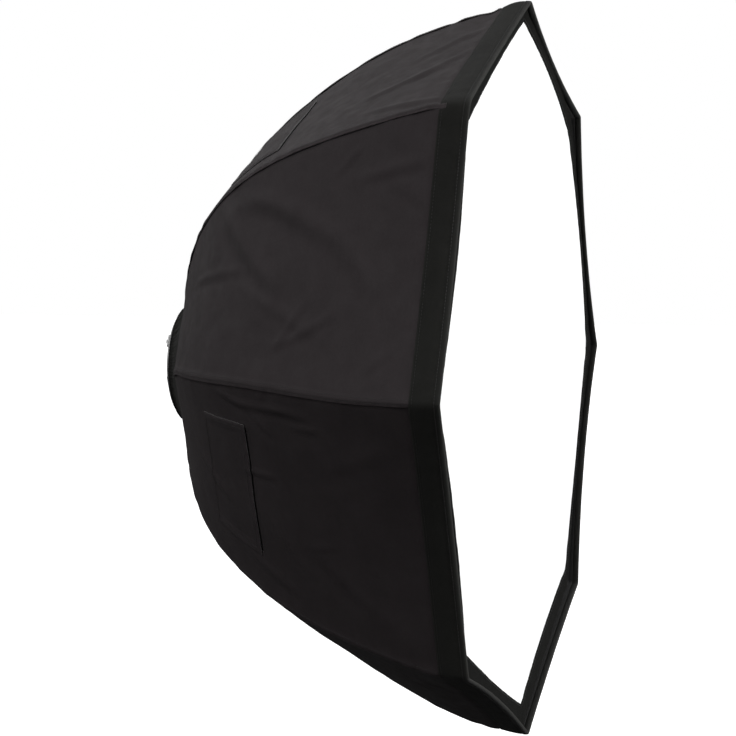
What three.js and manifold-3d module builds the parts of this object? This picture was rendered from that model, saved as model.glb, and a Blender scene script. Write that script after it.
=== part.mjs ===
// Studio softbox: a 95 cm octagon of black fabric on eight bowed rods and a rotating speed ring.
// Millimetres, +Z up. The light leaves along -Y. The origin is on the optical axis, in the rear face of the
// bayonet insert, which is the plane where the flash head bears.
import * as THREE from "three";
import { mergeVertices } from "three/addons/utils/BufferGeometryUtils.js";
import Module from "manifold-3d";

const wasm = await Module();
wasm.setup();

// Shell: eight gores between eight rods, corners at 0, 45, 90... degrees clockwise from the top.
const SIDES = 8;
const RIM_RADIUS = 475; // corner to corner the box is 950
const RIM_Y = -475; // front edge of the lip
// Meridian of the outer seam line as a Bezier: distance behind the rim, and radius.
const MERIDIAN = [[453, 75], [384, 399], [233, 375], [75, 485], [0, RIM_RADIUS]];
const FABRIC = 2; // thickness that the plain solids give the lined fabric
const GAP = 0.3; // between neighbouring pieces
const SHELL_REAR_RADIUS = 92; // where the gores end, just outside the rod sockets
const SIDE_DRAW = 20; // how far the middle of each side is drawn in at the rim
const GORE_TO_LIP = 1; // between the outer edges of gore and lip; their inner edges lie closer
const GORE_ROWS = 12;
const GORE_COLUMNS = [0, 0.12, 0.23, 0.5, 0.77, 0.88, 1];

// Access flaps: windows near the rear of every other gore, each closed by a flap sewn on at its rear edge.
// Each window spans columns from .. to of its gore, off the middle of the side.
const FLAPS = [
  { gore: 1, from: 2, to: 5 },
  { gore: 3, from: 1, to: 4 },
  { gore: 5, from: 2, to: 5 },
  { gore: 7, from: 1, to: 4 },
];
const FLAP_REAR_BEHIND_RIM = 336;
const FLAP_FRONT_BEHIND_RIM = 268;
const FLAP_CLEARANCE = 1.2;
const FLAP_TAPE_WIDTH = 16;
const FLAP_TAPE_THICKNESS = 1;

// Lip and front diffuser.
const LIP_DEPTH = 36;
const LIP_THICKNESS = 3;
const BINDING_DEPTH = 3;
const TAPE_THICKNESS = 1.2;
const TAPE_FRONT = 8; // the loop tape runs from here to TAPE_BACK, behind the rim
const TAPE_BACK = 26;
const DIFFUSER_RECESS = 12;
const DIFFUSER_THICKNESS = 1.6;
const BORDER_THICKNESS = 1;
const WINDOW_RADIUS = 440; // corner radius of the straight-sided white octagon inside the black border
const LIP_COLUMNS = 4;

// Rods and their tips.
const ROD_RADIUS = 3;
const ROD_INSET = 9.5; // rod centre line, inside the seam line
const ROD_STEPS = 15;
const ROD_END_BEHIND_RIM = 44;
const ROD_ROOT_RADIUS = 67;
const CAP_RADIUS = 4.4;
const CAP_BORE = 3.6;
const CAP_LENGTH = 16;
const CAP_OVERHANG = 4; // length of cap beyond the rod's end
const POCKET_RADIUS = 6;
const POCKET_BORE = 4.8;
const POCKET_FRONT = 28;
const POCKET_FLOOR = 34;
const POCKET_BACK = 50;

// Inner baffle.
const BAFFLE_RADIUS = 330;
const BAFFLE_BEHIND_RIM = 215;
const BAFFLE_THICKNESS = 1.6;
const STRAP_WIDTH = 15;
const STRAP_THICKNESS = 1.5;

// Speed ring and bayonet insert, all round the Y axis.
const RING_RADIUS = 72;
const RING_FRONT = -38;
const RING_REAR = -0.3;
const RING_INNER_RADIUS = 58;
const RING_LEDGE_RADIUS = 52.5;
const RING_LEDGE_FRONT = -14;
const FLANGE_RADIUS = 60;
const FLANGE_FRONT = -9;
const FLANGE_POCKET_RADIUS = 60.5;
const SLEEVE_RADIUS = 52;
const LAMP_RADIUS = 42;
const COLLAR_RADIUS = 47;
const COLLAR_REAR = 8;
const LUG_RADIUS = 53;
const LUG_FRONT = 3.5;
const LUG_HALF_ANGLE = 14;
const LUG_ANGLES = [0, 120, 240];
const SOCKET_RADIUS = 6;
const SOCKET_BORE = 3.7;
const SOCKET_OUTER_END = 86;
const RETAINER_ANGLES = [60, 180, 300];
const RETAINER_INNER = 56.5;
const RETAINER_OUTER = 71;
const RETAINER_WIDTH = 16;
const RETAINER_THICKNESS = 2;
const RETAINER_SCREW_AT = 66.2;
const SCREW_RADIUS = 1.5;
const SCREW_HEAD_RADIUS = 3;
const SCREW_HEAD_HEIGHT = 2;
const SCREW_DEPTH = 7;
const SCREW_SLOT_WIDTH = 0.8;
const SCREW_SLOT_DEPTH = 0.8;
const LOCK_ANGLE = 112.5;
const LOCK_Y = -5;
const LOCK_TIP = 60.3;
const LOCK_SHANK_RADIUS = 2.5;
const LOCK_SHANK_END = 90;
const LOCK_BOSS_RADIUS = 4.5;
const LOCK_BOSS_END = 78;
const KNOB_RADIUS = 7.6;
const KNOB_FLUTE = 0.4;
const KNOB_LOBES = 8;
const KNOB_START = 82;
const KNOB_END = 98;
const REAR_COLLAR = [[99, -24.8], [90, -18.5], [82, -11.5], [75, -4.5], [74.5, -2.5]];
const REAR_COLLAR_THICKNESS = 1.5;
const NOTCH_WIDTH = 21; // gap in the collar for the lock screw, between two radii
const NOTCH_DEPTH = 20;
const NOTCH_INNER = 69;
const NOTCH_OUTER = 103;
const ROUND = 40;

const HALF_SIDE = Math.PI / SIDES;
const APOTHEM = Math.cos(HALF_SIDE);

const MATERIALS = {
  shell: new THREE.MeshStandardMaterial({ color: 0x2e2a2c, roughness: 0.85 }),
  lip: new THREE.MeshStandardMaterial({ color: 0x151514, roughness: 0.9 }),
  diffuser: new THREE.MeshStandardMaterial({ color: 0xf4f4f2, roughness: 0.8 }),
  tape: new THREE.MeshStandardMaterial({ color: 0x121212, roughness: 1 }),
  rod: new THREE.MeshStandardMaterial({ color: 0x9a9c9e, roughness: 0.35, metalness: 1 }),
  ring: new THREE.MeshStandardMaterial({ color: 0x8d8f92, roughness: 0.45, metalness: 0.9 }),
  screw: new THREE.MeshStandardMaterial({ color: 0xb4b6b8, roughness: 0.3, metalness: 1 }),
  plastic: new THREE.MeshStandardMaterial({ color: 0x1c1c1d, roughness: 0.55 }),
};

const softbox = new THREE.Group();

function addPiece(name, geometry, material) {
  const mesh = new THREE.Mesh(geometry, material);
  mesh.name = name;
  softbox.add(mesh);
  return mesh;
}

const radians = (degrees) => (degrees * Math.PI) / 180;
const cornerAngle = (k) => (k * 2 * Math.PI) / SIDES;

// A point at a radius and an angle clockwise from the top, seen with +X to the right.
function polar(radius, angle, y) {
  return new THREE.Vector3(radius * Math.sin(angle), y, radius * Math.cos(angle));
}

function toSolid(geometry) {
  const bare = geometry.clone();
  bare.deleteAttribute("normal");
  bare.deleteAttribute("uv");
  const merged = mergeVertices(bare, 1e-4);
  const vertProperties = new Float32Array(merged.attributes.position.array);
  const triVerts = new Uint32Array(merged.index.array);
  return new wasm.Manifold(new wasm.Mesh({ numProp: 3, vertProperties, triVerts }));
}

function toGeometry(solid) {
  const mesh = solid.getMesh();
  const geometry = new THREE.BufferGeometry();
  geometry.setAttribute("position", new THREE.BufferAttribute(mesh.vertProperties, 3));
  geometry.setIndex(new THREE.BufferAttribute(mesh.triVerts, 1));
  return geometry;
}

const cut = (solid, tool) => solid.subtract(toSolid(tool));
const join = (solid, other) => solid.add(toSolid(other));

// The meridian of the seam line, and a point offset inwards from it. widen is 1 on a rod's own plane and
// 1 / APOTHEM where the offset is square to a gore, so that neighbouring gores meet in a mitre.
function bezier(points, t) {
  let level = points.map(([behind, radius]) => new THREE.Vector2(behind, radius));
  while (level.length > 1) {
    level = level.slice(1).map((point, i) => level[i].clone().lerp(point, t));
  }
  return level[0];
}

function seamPoint(t, inset, widen) {
  const step = 1e-4;
  const before = bezier(MERIDIAN, Math.max(t - step, 0));
  const after = bezier(MERIDIAN, Math.min(t + step, 1));
  const along = after.sub(before).normalize();
  const here = bezier(MERIDIAN, t);
  return { radius: here.y + inset * along.x * widen, y: RIM_Y + here.x - inset * along.y };
}

// The parameter where the meridian is at a given distance behind the rim, or at a given radius.
function solveMeridian(wanted) {
  let low = 0;
  let high = 1;
  for (let i = 0; i < 40; i += 1) {
    const middle = (low + high) / 2;
    if (wanted(bezier(MERIDIAN, middle))) {
      low = middle;
    } else {
      high = middle;
    }
  }
  return low;
}

const atBehindRim = (distance) => solveMeridian((point) => point.x > distance);
const atRadius = (radius) => solveMeridian((point) => point.y < radius);

// How far the middle of a side is drawn in: nothing behind the flaps, growing towards the rim.
const DRAW_START = atBehindRim(FLAP_FRONT_BEHIND_RIM);
function drawIn(t) {
  const share = Math.max((t - DRAW_START) / (1 - DRAW_START), 0);
  return SIDE_DRAW * share * share;
}

// A point of gore k: u runs from corner k to corner k + 1, and inset is measured inwards from the outside.
function gorePoint(k, t, u, inset) {
  const { radius, y } = seamPoint(t, inset, 1 / APOTHEM);
  const from = polar(radius, cornerAngle(k), y);
  const to = polar(radius, cornerAngle(k + 1), y);
  const inwards = polar(-drawIn(t) * 4 * u * (1 - u), cornerAngle(k + 0.5), 0);
  return from.lerp(to, u).add(inwards);
}

// A closed sheet from two grids of points; cells that skip(i, j) names are left open.
function thickSheet(outer, inner, skip = () => false) {
  const rows = outer.length - 1;
  const columns = outer[0].length - 1;
  const vertices = [];
  const quad = (a, b, c, d) => vertices.push(a, b, c, a, c, d);
  const open = (i, j) => i < 0 || j < 0 || i >= rows || j >= columns || skip(i, j);
  for (let i = 0; i < rows; i += 1) {
    for (let j = 0; j < columns; j += 1) {
      if (open(i, j)) continue;
      quad(outer[i][j], outer[i][j + 1], outer[i + 1][j + 1], outer[i + 1][j]);
      quad(inner[i][j], inner[i + 1][j], inner[i + 1][j + 1], inner[i][j + 1]);
      if (open(i - 1, j)) quad(outer[i][j + 1], outer[i][j], inner[i][j], inner[i][j + 1]);
      if (open(i + 1, j)) quad(outer[i + 1][j], outer[i + 1][j + 1], inner[i + 1][j + 1], inner[i + 1][j]);
      if (open(i, j - 1)) quad(outer[i][j], outer[i + 1][j], inner[i + 1][j], inner[i][j]);
      if (open(i, j + 1)) quad(outer[i + 1][j + 1], outer[i][j + 1], inner[i][j + 1], inner[i + 1][j + 1]);
    }
  }
  return facingOut(new THREE.BufferGeometry().setFromPoints(vertices));
}

// The same geometry, turned round if its faces point inwards.
function facingOut(geometry) {
  if (toSolid(indexed(geometry)).volume() > 0) return indexed(geometry);
  const turned = indexed(geometry);
  const index = turned.index.array;
  for (let i = 0; i < index.length; i += 3) {
    [index[i + 1], index[i + 2]] = [index[i + 2], index[i + 1]];
  }
  return turned;
}

function indexed(geometry) {
  const bare = geometry.clone();
  bare.deleteAttribute("normal");
  bare.deleteAttribute("uv");
  return mergeVertices(bare, 1e-4);
}

// A grid of points on gore k between two sets of parameters, at one inset.
function goreGrid(k, ts, us, inset) {
  return ts.map((t) => us.map((u) => gorePoint(k, t, u, inset)));
}

const sideLength = (t) => 2 * seamPoint(t, 0, 1).radius * Math.sin(HALF_SIDE);
const T_REAR = atRadius(SHELL_REAR_RADIUS);
const T_FLAP_REAR = atBehindRim(FLAP_REAR_BEHIND_RIM);
const T_FLAP_FRONT = atBehindRim(FLAP_FRONT_BEHIND_RIM);
const T_FRONT = atBehindRim(LIP_DEPTH + GORE_TO_LIP);

// Parameters of the gore's rows: even steps in three stretches, so that the window's edges fall on rows.
function evenSteps(from, to, count) {
  return Array.from({ length: count }, (_, i) => from + ((to - from) * i) / count);
}

const ROWS_BEHIND = 4;
const ROWS_ACROSS = 2;
const GORE_T = [
  ...evenSteps(T_REAR, T_FLAP_REAR, ROWS_BEHIND),
  ...evenSteps(T_FLAP_REAR, T_FLAP_FRONT, ROWS_ACROSS),
  ...evenSteps(T_FLAP_FRONT, T_FRONT, GORE_ROWS - ROWS_BEHIND - ROWS_ACROSS),
  T_FRONT,
];

function makeGore(k) {
  const flap = FLAPS.find(({ gore }) => gore === k);
  const seam = GAP / 2;
  const grid = (inset) =>
    GORE_T.map((t) => {
      const edge = seam / sideLength(t);
      return GORE_COLUMNS.map((u) => gorePoint(k, t, edge + u * (1 - 2 * edge), inset));
    });
  const inWindow = (i, j) =>
    flap !== undefined &&
    i >= ROWS_BEHIND &&
    i < ROWS_BEHIND + ROWS_ACROSS &&
    j >= flap.from &&
    j < flap.to;
  return thickSheet(grid(0), grid(FABRIC), inWindow);
}

// A flap fills its window, less a clearance all round.
function flapRanges({ from, to }) {
  const perUnit = (T_FLAP_FRONT - T_FLAP_REAR) / (FLAP_REAR_BEHIND_RIM - FLAP_FRONT_BEHIND_RIM);
  const margin = FLAP_CLEARANCE * perUnit;
  const side = FLAP_CLEARANCE / sideLength(T_FLAP_REAR);
  const first = GORE_COLUMNS[from] + side;
  const last = GORE_COLUMNS[to] - side;
  return { rear: T_FLAP_REAR + margin, front: T_FLAP_FRONT - margin, first, last, perUnit };
}

function makeFlap(flap) {
  const { rear, front, first, last, perUnit } = flapRanges(flap);
  const tapeEdge = front - FLAP_TAPE_WIDTH * perUnit;
  const ts = [rear, (rear + tapeEdge) / 2, tapeEdge, front];
  const us = [first, (first + last) / 2, last];
  return thickSheet(goreGrid(flap.gore, ts, us, 0), goreGrid(flap.gore, ts, us, FABRIC));
}

// The hook strip sewn under the free edge of a flap.
function makeFlapTape(flap) {
  const { front, first, last, perUnit } = flapRanges(flap);
  const ts = [front - FLAP_TAPE_WIDTH * perUnit, front];
  const us = [first, (first + last) / 2, last];
  const top = FABRIC + GAP;
  const bottom = top + FLAP_TAPE_THICKNESS;
  return thickSheet(goreGrid(flap.gore, ts, us, top), goreGrid(flap.gore, ts, us, bottom));
}

// A closed band round the octagon. section holds the corner radius and y of each point of its outline, taken
// round in order; the sides bow in by the rim's draw.
function octagonBand(section) {
  const around = [];
  for (let k = 0; k < SIDES; k += 1) {
    for (let j = 0; j < LIP_COLUMNS; j += 1) around.push([k, j / LIP_COLUMNS]);
  }
  const point = ([radius, y], [k, u]) => {
    const from = polar(radius, cornerAngle(k), y);
    const to = polar(radius, cornerAngle(k + 1), y);
    return from.lerp(to, u).add(polar(-SIDE_DRAW * 4 * u * (1 - u), cornerAngle(k + 0.5), 0));
  };
  const vertices = [];
  around.forEach((here, i) => {
    const next = around[(i + 1) % around.length];
    section.forEach((start, s) => {
      const end = section[(s + 1) % section.length];
      const a = point(start, here);
      const b = point(end, here);
      const c = point(end, next);
      const d = point(start, next);
      vertices.push(a, b, c, a, c, d);
    });
  });
  return facingOut(new THREE.BufferGeometry().setFromPoints(vertices));
}

// The lip is straight from the rim to its back edge: corner radius of the surface that lies a depth inside
// its outside, at a distance behind the rim.
const LIP_SLOPE = (RIM_RADIUS - bezier(MERIDIAN, atBehindRim(LIP_DEPTH)).y) / LIP_DEPTH;
const insideCorner = (behind, depth) => RIM_RADIUS - LIP_SLOPE * behind - depth / APOTHEM;
const bandSection = (front, back, outerDepth, innerDepth) => [
  [insideCorner(front, outerDepth), RIM_Y + front],
  [insideCorner(back, outerDepth), RIM_Y + back],
  [insideCorner(back, innerDepth), RIM_Y + back],
  [insideCorner(front, innerDepth), RIM_Y + front],
];

// Centre line of a rod, inside the corner seam, from its root in the socket to its end.
function rodPlace(t) {
  return seamPoint(t, ROD_INSET, 1);
}

function rodEnd() {
  let t = 1;
  while (rodPlace(t).y < RIM_Y + ROD_END_BEHIND_RIM) t -= 1e-3;
  return t;
}

const T_ROD_END = rodEnd();
const ROD_START = rodPlace(0);
const rodSlope = (() => {
  const ahead = rodPlace(0.01);
  return (ahead.y - ROD_START.y) / (ahead.radius - ROD_START.radius);
})();
const socketPlace = (radius) => ({ radius, y: ROD_START.y + (radius - ROD_START.radius) * rodSlope });

function rodPath(k) {
  const places = [socketPlace(ROD_ROOT_RADIUS)];
  for (let i = 0; i <= ROD_STEPS; i += 1) places.push(rodPlace((T_ROD_END * i) / ROD_STEPS));
  return places.map(({ radius, y }) => polar(radius, cornerAngle(k), y));
}

function circleShape(radius, sides) {
  const points = Array.from({ length: sides }, (_, i) => {
    const angle = (2 * Math.PI * i) / sides;
    return new THREE.Vector2(radius * Math.cos(angle), radius * Math.sin(angle));
  });
  return new THREE.Shape(points);
}

function makeRod(k) {
  const path = new THREE.CatmullRomCurve3(rodPath(k), false, "centripetal");
  const steps = ROD_STEPS + 2;
  return new THREE.ExtrudeGeometry(circleShape(ROD_RADIUS, 8), { steps, extrudePath: path });
}

// A round bar between two points.
function bar(from, to, radius, sides = 16) {
  const along = to.clone().sub(from);
  const geometry = new THREE.CylinderGeometry(radius, radius, along.length(), sides);
  const upright = new THREE.Vector3(0, 1, 0);
  geometry.applyQuaternion(new THREE.Quaternion().setFromUnitVectors(upright, along.clone().normalize()));
  return geometry.translate(...from.clone().add(to).multiplyScalar(0.5).toArray());
}

// Direction of the rod at its front end, and the point a distance past that end.
function beyondRodEnd(k, distance) {
  const end = rodPlace(T_ROD_END);
  const before = rodPlace(T_ROD_END - 0.01);
  const from = polar(end.radius, cornerAngle(k), end.y);
  const along = from.clone().sub(polar(before.radius, cornerAngle(k), before.y)).normalize();
  return from.add(along.multiplyScalar(distance));
}

function makeCap(k) {
  const front = beyondRodEnd(k, CAP_OVERHANG);
  const back = beyondRodEnd(k, CAP_OVERHANG - CAP_LENGTH);
  const boreFloor = beyondRodEnd(k, GAP);
  const boreMouth = beyondRodEnd(k, -CAP_LENGTH);
  return toGeometry(cut(toSolid(bar(front, back, CAP_RADIUS, 12)), bar(boreFloor, boreMouth, CAP_BORE, 12)));
}

// The lip with the eight pockets, sewn into its corners, that hold the rod tips.
function makeLip() {
  let lip = toSolid(octagonBand(bandSection(BINDING_DEPTH + GAP, LIP_DEPTH, 0, LIP_THICKNESS)));
  const alongRod = (behind) => ROD_END_BEHIND_RIM - behind;
  for (let k = 0; k < SIDES; k += 1) {
    const pocketFront = beyondRodEnd(k, alongRod(POCKET_FRONT));
    const pocketBack = beyondRodEnd(k, alongRod(POCKET_BACK));
    const boreFront = beyondRodEnd(k, alongRod(POCKET_FLOOR));
    const boreBack = beyondRodEnd(k, alongRod(POCKET_BACK + 1));
    lip = join(lip, bar(pocketFront, pocketBack, POCKET_RADIUS, 12));
    lip = cut(lip, bar(boreFront, boreBack, POCKET_BORE, 12));
  }
  return toGeometry(lip);
}

// A flat octagonal plate whose sides bow in by draw, with its front face at a distance behind the rim.
function octagonPlate(cornerRadius, draw, behind, thickness) {
  const outline = [];
  const columns = draw > 0 ? LIP_COLUMNS : 1;
  for (let k = 0; k < SIDES; k += 1) {
    for (let j = 0; j < columns; j += 1) {
      const u = j / columns;
      const from = polar(cornerRadius, cornerAngle(k), 0);
      const to = polar(cornerRadius, cornerAngle(k + 1), 0);
      from.lerp(to, u).add(polar(-draw * 4 * u * (1 - u), cornerAngle(k + 0.5), 0));
      outline.push(new THREE.Vector2(from.x, from.z));
    }
  }
  const shape = new THREE.Shape(outline);
  const plate = new THREE.ExtrudeGeometry(shape, { depth: thickness, bevelEnabled: false });
  plate.rotateX(Math.PI / 2);
  return plate.translate(0, RIM_Y + behind + thickness, 0);
}

// The black border sewn on the diffuser's face. Its outside follows the lip's drawn-in sides and its inside
// is a straight-sided octagon, so it is widest in the corners.
function makeBorder(cornerRadius) {
  const front = DIFFUSER_RECESS - GAP - BORDER_THICKNESS;
  const whole = toSolid(octagonPlate(cornerRadius, SIDE_DRAW, front, BORDER_THICKNESS));
  return toGeometry(cut(whole, octagonPlate(WINDOW_RADIUS, 0, front - 1, BORDER_THICKNESS + 2)));
}

// Strap from a corner of the baffle to the rod beside it.
function makeStrap(k) {
  const y = RIM_Y + BAFFLE_BEHIND_RIM + BAFFLE_THICKNESS / 2;
  let t = T_ROD_END;
  while (rodPlace(t).y < y) t -= 1e-3;
  const outer = rodPlace(t).radius - ROD_RADIUS - STRAP_THICKNESS;
  const inner = BAFFLE_RADIUS + GAP;
  const strap = new THREE.BoxGeometry(STRAP_WIDTH, STRAP_THICKNESS, outer - inner);
  strap.translate(0, y, (outer + inner) / 2);
  return strap.rotateY(cornerAngle(k));
}

// A solid of revolution round the Y axis from a closed outline of radius and y.
function revolved(outline, segments = ROUND) {
  const points = [...outline, outline[0]].map(([radius, y]) => new THREE.Vector2(radius, y));
  return facingOut(new THREE.LatheGeometry(points, segments));
}

function makeInsert() {
  let insert = toSolid(
    revolved([
      [LAMP_RADIUS, RING_LEDGE_FRONT],
      [SLEEVE_RADIUS, RING_LEDGE_FRONT],
      [SLEEVE_RADIUS, FLANGE_FRONT],
      [FLANGE_RADIUS, FLANGE_FRONT],
      [FLANGE_RADIUS, 0],
      [COLLAR_RADIUS, 0],
      [COLLAR_RADIUS, COLLAR_REAR],
      [LAMP_RADIUS, COLLAR_REAR],
    ]),
  );
  for (const angle of LUG_ANGLES) {
    const lug = new THREE.Shape();
    const from = radians(angle - LUG_HALF_ANGLE);
    const to = radians(angle + LUG_HALF_ANGLE);
    lug.absarc(0, 0, LUG_RADIUS, from, to, false);
    lug.absarc(0, 0, COLLAR_RADIUS - 1, to, from, true);
    const depth = COLLAR_REAR - LUG_FRONT;
    const shape = new THREE.ExtrudeGeometry(lug, { depth, bevelEnabled: false, curveSegments: 6 });
    shape.rotateX(-Math.PI / 2);
    shape.rotateY(-Math.PI / 2);
    insert = join(insert, shape.translate(0, LUG_FRONT, 0));
  }
  return toGeometry(insert);
}

function makeRing() {
  let ring = toSolid(
    revolved([
      [RING_INNER_RADIUS, RING_FRONT],
      [RING_RADIUS, RING_FRONT],
      [RING_RADIUS, RING_REAR],
      [FLANGE_POCKET_RADIUS, RING_REAR],
      [FLANGE_POCKET_RADIUS, FLANGE_FRONT - 0.5],
      [RING_LEDGE_RADIUS, FLANGE_FRONT - 0.5],
      [RING_LEDGE_RADIUS, RING_LEDGE_FRONT],
      [RING_INNER_RADIUS, RING_LEDGE_FRONT],
    ]),
  );
  for (let k = 0; k < SIDES; k += 1) {
    const at = (radius) => polar(radius, cornerAngle(k), socketPlace(radius).y);
    ring = join(ring, bar(at(ROD_ROOT_RADIUS), at(SOCKET_OUTER_END), SOCKET_RADIUS));
    ring = cut(ring, bar(at(ROD_ROOT_RADIUS - 1), at(SOCKET_OUTER_END + 1), SOCKET_BORE, 12));
  }
  const lockAt = (radius) => polar(radius, radians(LOCK_ANGLE), LOCK_Y);
  ring = join(ring, bar(lockAt(RING_RADIUS - 2), lockAt(LOCK_BOSS_END), LOCK_BOSS_RADIUS));
  ring = cut(ring, bar(lockAt(LOCK_TIP - 4), lockAt(LOCK_BOSS_END + 1), LOCK_SHANK_RADIUS + GAP));
  for (const angle of RETAINER_ANGLES) {
    const at = (y) => polar(RETAINER_SCREW_AT, radians(angle), y);
    ring = cut(ring, bar(at(-SCREW_DEPTH - 1), at(1), SCREW_RADIUS + GAP, 12));
  }
  return toGeometry(ring);
}

function makeRetainer(angle) {
  const length = RETAINER_OUTER - RETAINER_INNER;
  const middle = (RETAINER_OUTER + RETAINER_INNER) / 2;
  const plate = new THREE.BoxGeometry(RETAINER_WIDTH, RETAINER_THICKNESS, length);
  plate.translate(0, GAP + RETAINER_THICKNESS / 2, middle);
  plate.rotateY(radians(angle));
  const at = (y) => polar(RETAINER_SCREW_AT, radians(angle), y);
  return toGeometry(cut(toSolid(plate), bar(at(-1), at(4), SCREW_RADIUS + GAP, 12)));
}

function makeRetainerScrew(angle) {
  const at = (y) => polar(RETAINER_SCREW_AT, radians(angle), y);
  const seat = GAP + RETAINER_THICKNESS + GAP;
  const shank = toSolid(bar(at(-SCREW_DEPTH), at(seat + 1), SCREW_RADIUS, 12));
  const head = bar(at(seat), at(seat + SCREW_HEAD_HEIGHT), SCREW_HEAD_RADIUS, 16);
  const slot = new THREE.BoxGeometry(2 * SCREW_HEAD_RADIUS + 1, SCREW_HEAD_HEIGHT, SCREW_SLOT_WIDTH);
  const slotMiddle = seat + 1.5 * SCREW_HEAD_HEIGHT - SCREW_SLOT_DEPTH;
  slot.translate(0, slotMiddle, RETAINER_SCREW_AT).rotateY(radians(angle));
  return toGeometry(cut(join(shank, head), slot));
}

// The lock screw presses on the rim of the insert and stops the ring from turning.
function makeLockScrew() {
  const at = (radius) => polar(radius, radians(LOCK_ANGLE), LOCK_Y);
  return bar(at(LOCK_TIP), at(LOCK_SHANK_END), LOCK_SHANK_RADIUS);
}

function makeLockKnob() {
  const outline = Array.from({ length: 4 * KNOB_LOBES }, (_, i) => {
    const angle = (2 * Math.PI * i) / (4 * KNOB_LOBES);
    const radius = KNOB_RADIUS + KNOB_FLUTE * Math.cos(KNOB_LOBES * angle);
    return new THREE.Vector2(radius * Math.cos(angle), radius * Math.sin(angle));
  });
  const depth = KNOB_END - KNOB_START;
  const knob = new THREE.ExtrudeGeometry(new THREE.Shape(outline), { depth, bevelEnabled: false });
  knob.translate(0, 0, KNOB_START).rotateY(radians(LOCK_ANGLE)).translate(0, LOCK_Y, 0);
  const at = (radius) => polar(radius, radians(LOCK_ANGLE), LOCK_Y);
  const bore = bar(at(KNOB_START - 1), at(LOCK_SHANK_END + GAP), LOCK_SHANK_RADIUS + GAP);
  return toGeometry(cut(toSolid(knob), bore));
}

// The elastic collar that closes the shell on the speed ring, notched where the lock screw comes through.
function makeRearCollar() {
  const thickness = REAR_COLLAR_THICKNESS;
  const inner = REAR_COLLAR.map(([radius, y]) => [radius - thickness, y - thickness / 2]);
  const collar = toSolid(revolved([...REAR_COLLAR, ...inner.reverse()]));
  const notch = new THREE.BoxGeometry(NOTCH_WIDTH, NOTCH_DEPTH, NOTCH_OUTER - NOTCH_INNER);
  notch.translate(0, LOCK_Y, (NOTCH_OUTER + NOTCH_INNER) / 2).rotateY(radians(LOCK_ANGLE));
  return toGeometry(cut(collar, notch));
}

// Assembly.
addPiece("bayonet_insert", makeInsert(), MATERIALS.ring);
addPiece("speed_ring", makeRing(), MATERIALS.ring);
RETAINER_ANGLES.forEach((angle, i) => {
  addPiece(`retainer_plate_${i + 1}`, makeRetainer(angle), MATERIALS.screw);
  addPiece(`retainer_screw_${i + 1}`, makeRetainerScrew(angle), MATERIALS.screw);
});
addPiece("lock_screw", makeLockScrew(), MATERIALS.screw);
addPiece("lock_knob", makeLockKnob(), MATERIALS.plastic);
addPiece("rear_collar", makeRearCollar(), MATERIALS.lip);
for (let k = 0; k < SIDES; k += 1) {
  addPiece(`rod_${k + 1}`, makeRod(k), MATERIALS.rod);
  addPiece(`rod_cap_${k + 1}`, makeCap(k), MATERIALS.plastic);
  addPiece(`shell_gore_${k + 1}`, makeGore(k), MATERIALS.shell);
  addPiece(`baffle_strap_${k + 1}`, makeStrap(k), MATERIALS.tape);
}
FLAPS.forEach((flap, i) => {
  addPiece(`access_flap_${i + 1}`, makeFlap(flap), MATERIALS.shell);
  addPiece(`flap_tape_${i + 1}`, makeFlapTape(flap), MATERIALS.tape);
});
addPiece("front_lip", makeLip(), MATERIALS.lip);
addPiece("lip_binding", octagonBand(bandSection(0, BINDING_DEPTH, 0, LIP_THICKNESS)), MATERIALS.lip);
const loopDepth = LIP_THICKNESS + GAP;
const hookDepth = loopDepth + TAPE_THICKNESS + GAP;
const hookFront = DIFFUSER_RECESS + DIFFUSER_THICKNESS + GAP;
const loopSection = bandSection(TAPE_FRONT, TAPE_BACK, loopDepth, loopDepth + TAPE_THICKNESS);
const hookSection = bandSection(hookFront, TAPE_BACK, hookDepth, hookDepth + TAPE_THICKNESS);
addPiece("loop_tape", octagonBand(loopSection), MATERIALS.tape);
addPiece("hook_tape", octagonBand(hookSection), MATERIALS.tape);
const diffuserCorner = insideCorner(DIFFUSER_RECESS, hookDepth);
const diffuser = octagonPlate(diffuserCorner, SIDE_DRAW, DIFFUSER_RECESS, DIFFUSER_THICKNESS);
addPiece("front_diffuser", diffuser, MATERIALS.diffuser);
addPiece("diffuser_border", makeBorder(diffuserCorner), MATERIALS.lip);
const baffle = octagonPlate(BAFFLE_RADIUS, 0, BAFFLE_BEHIND_RIM, BAFFLE_THICKNESS);
addPiece("inner_baffle", baffle, MATERIALS.diffuser);

export default softbox;
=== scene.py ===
"""Looks for the studio softbox: sewn fabric, rods, hardware, light and camera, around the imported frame.

Metres, +Z up. The light leaves along -Y. Angles round the Y axis run clockwise from the top, with +X at a
quarter turn. Corner k of the octagon lies at k eighths of a turn, and gore k between corners k and k + 1.
"""

import math

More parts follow.
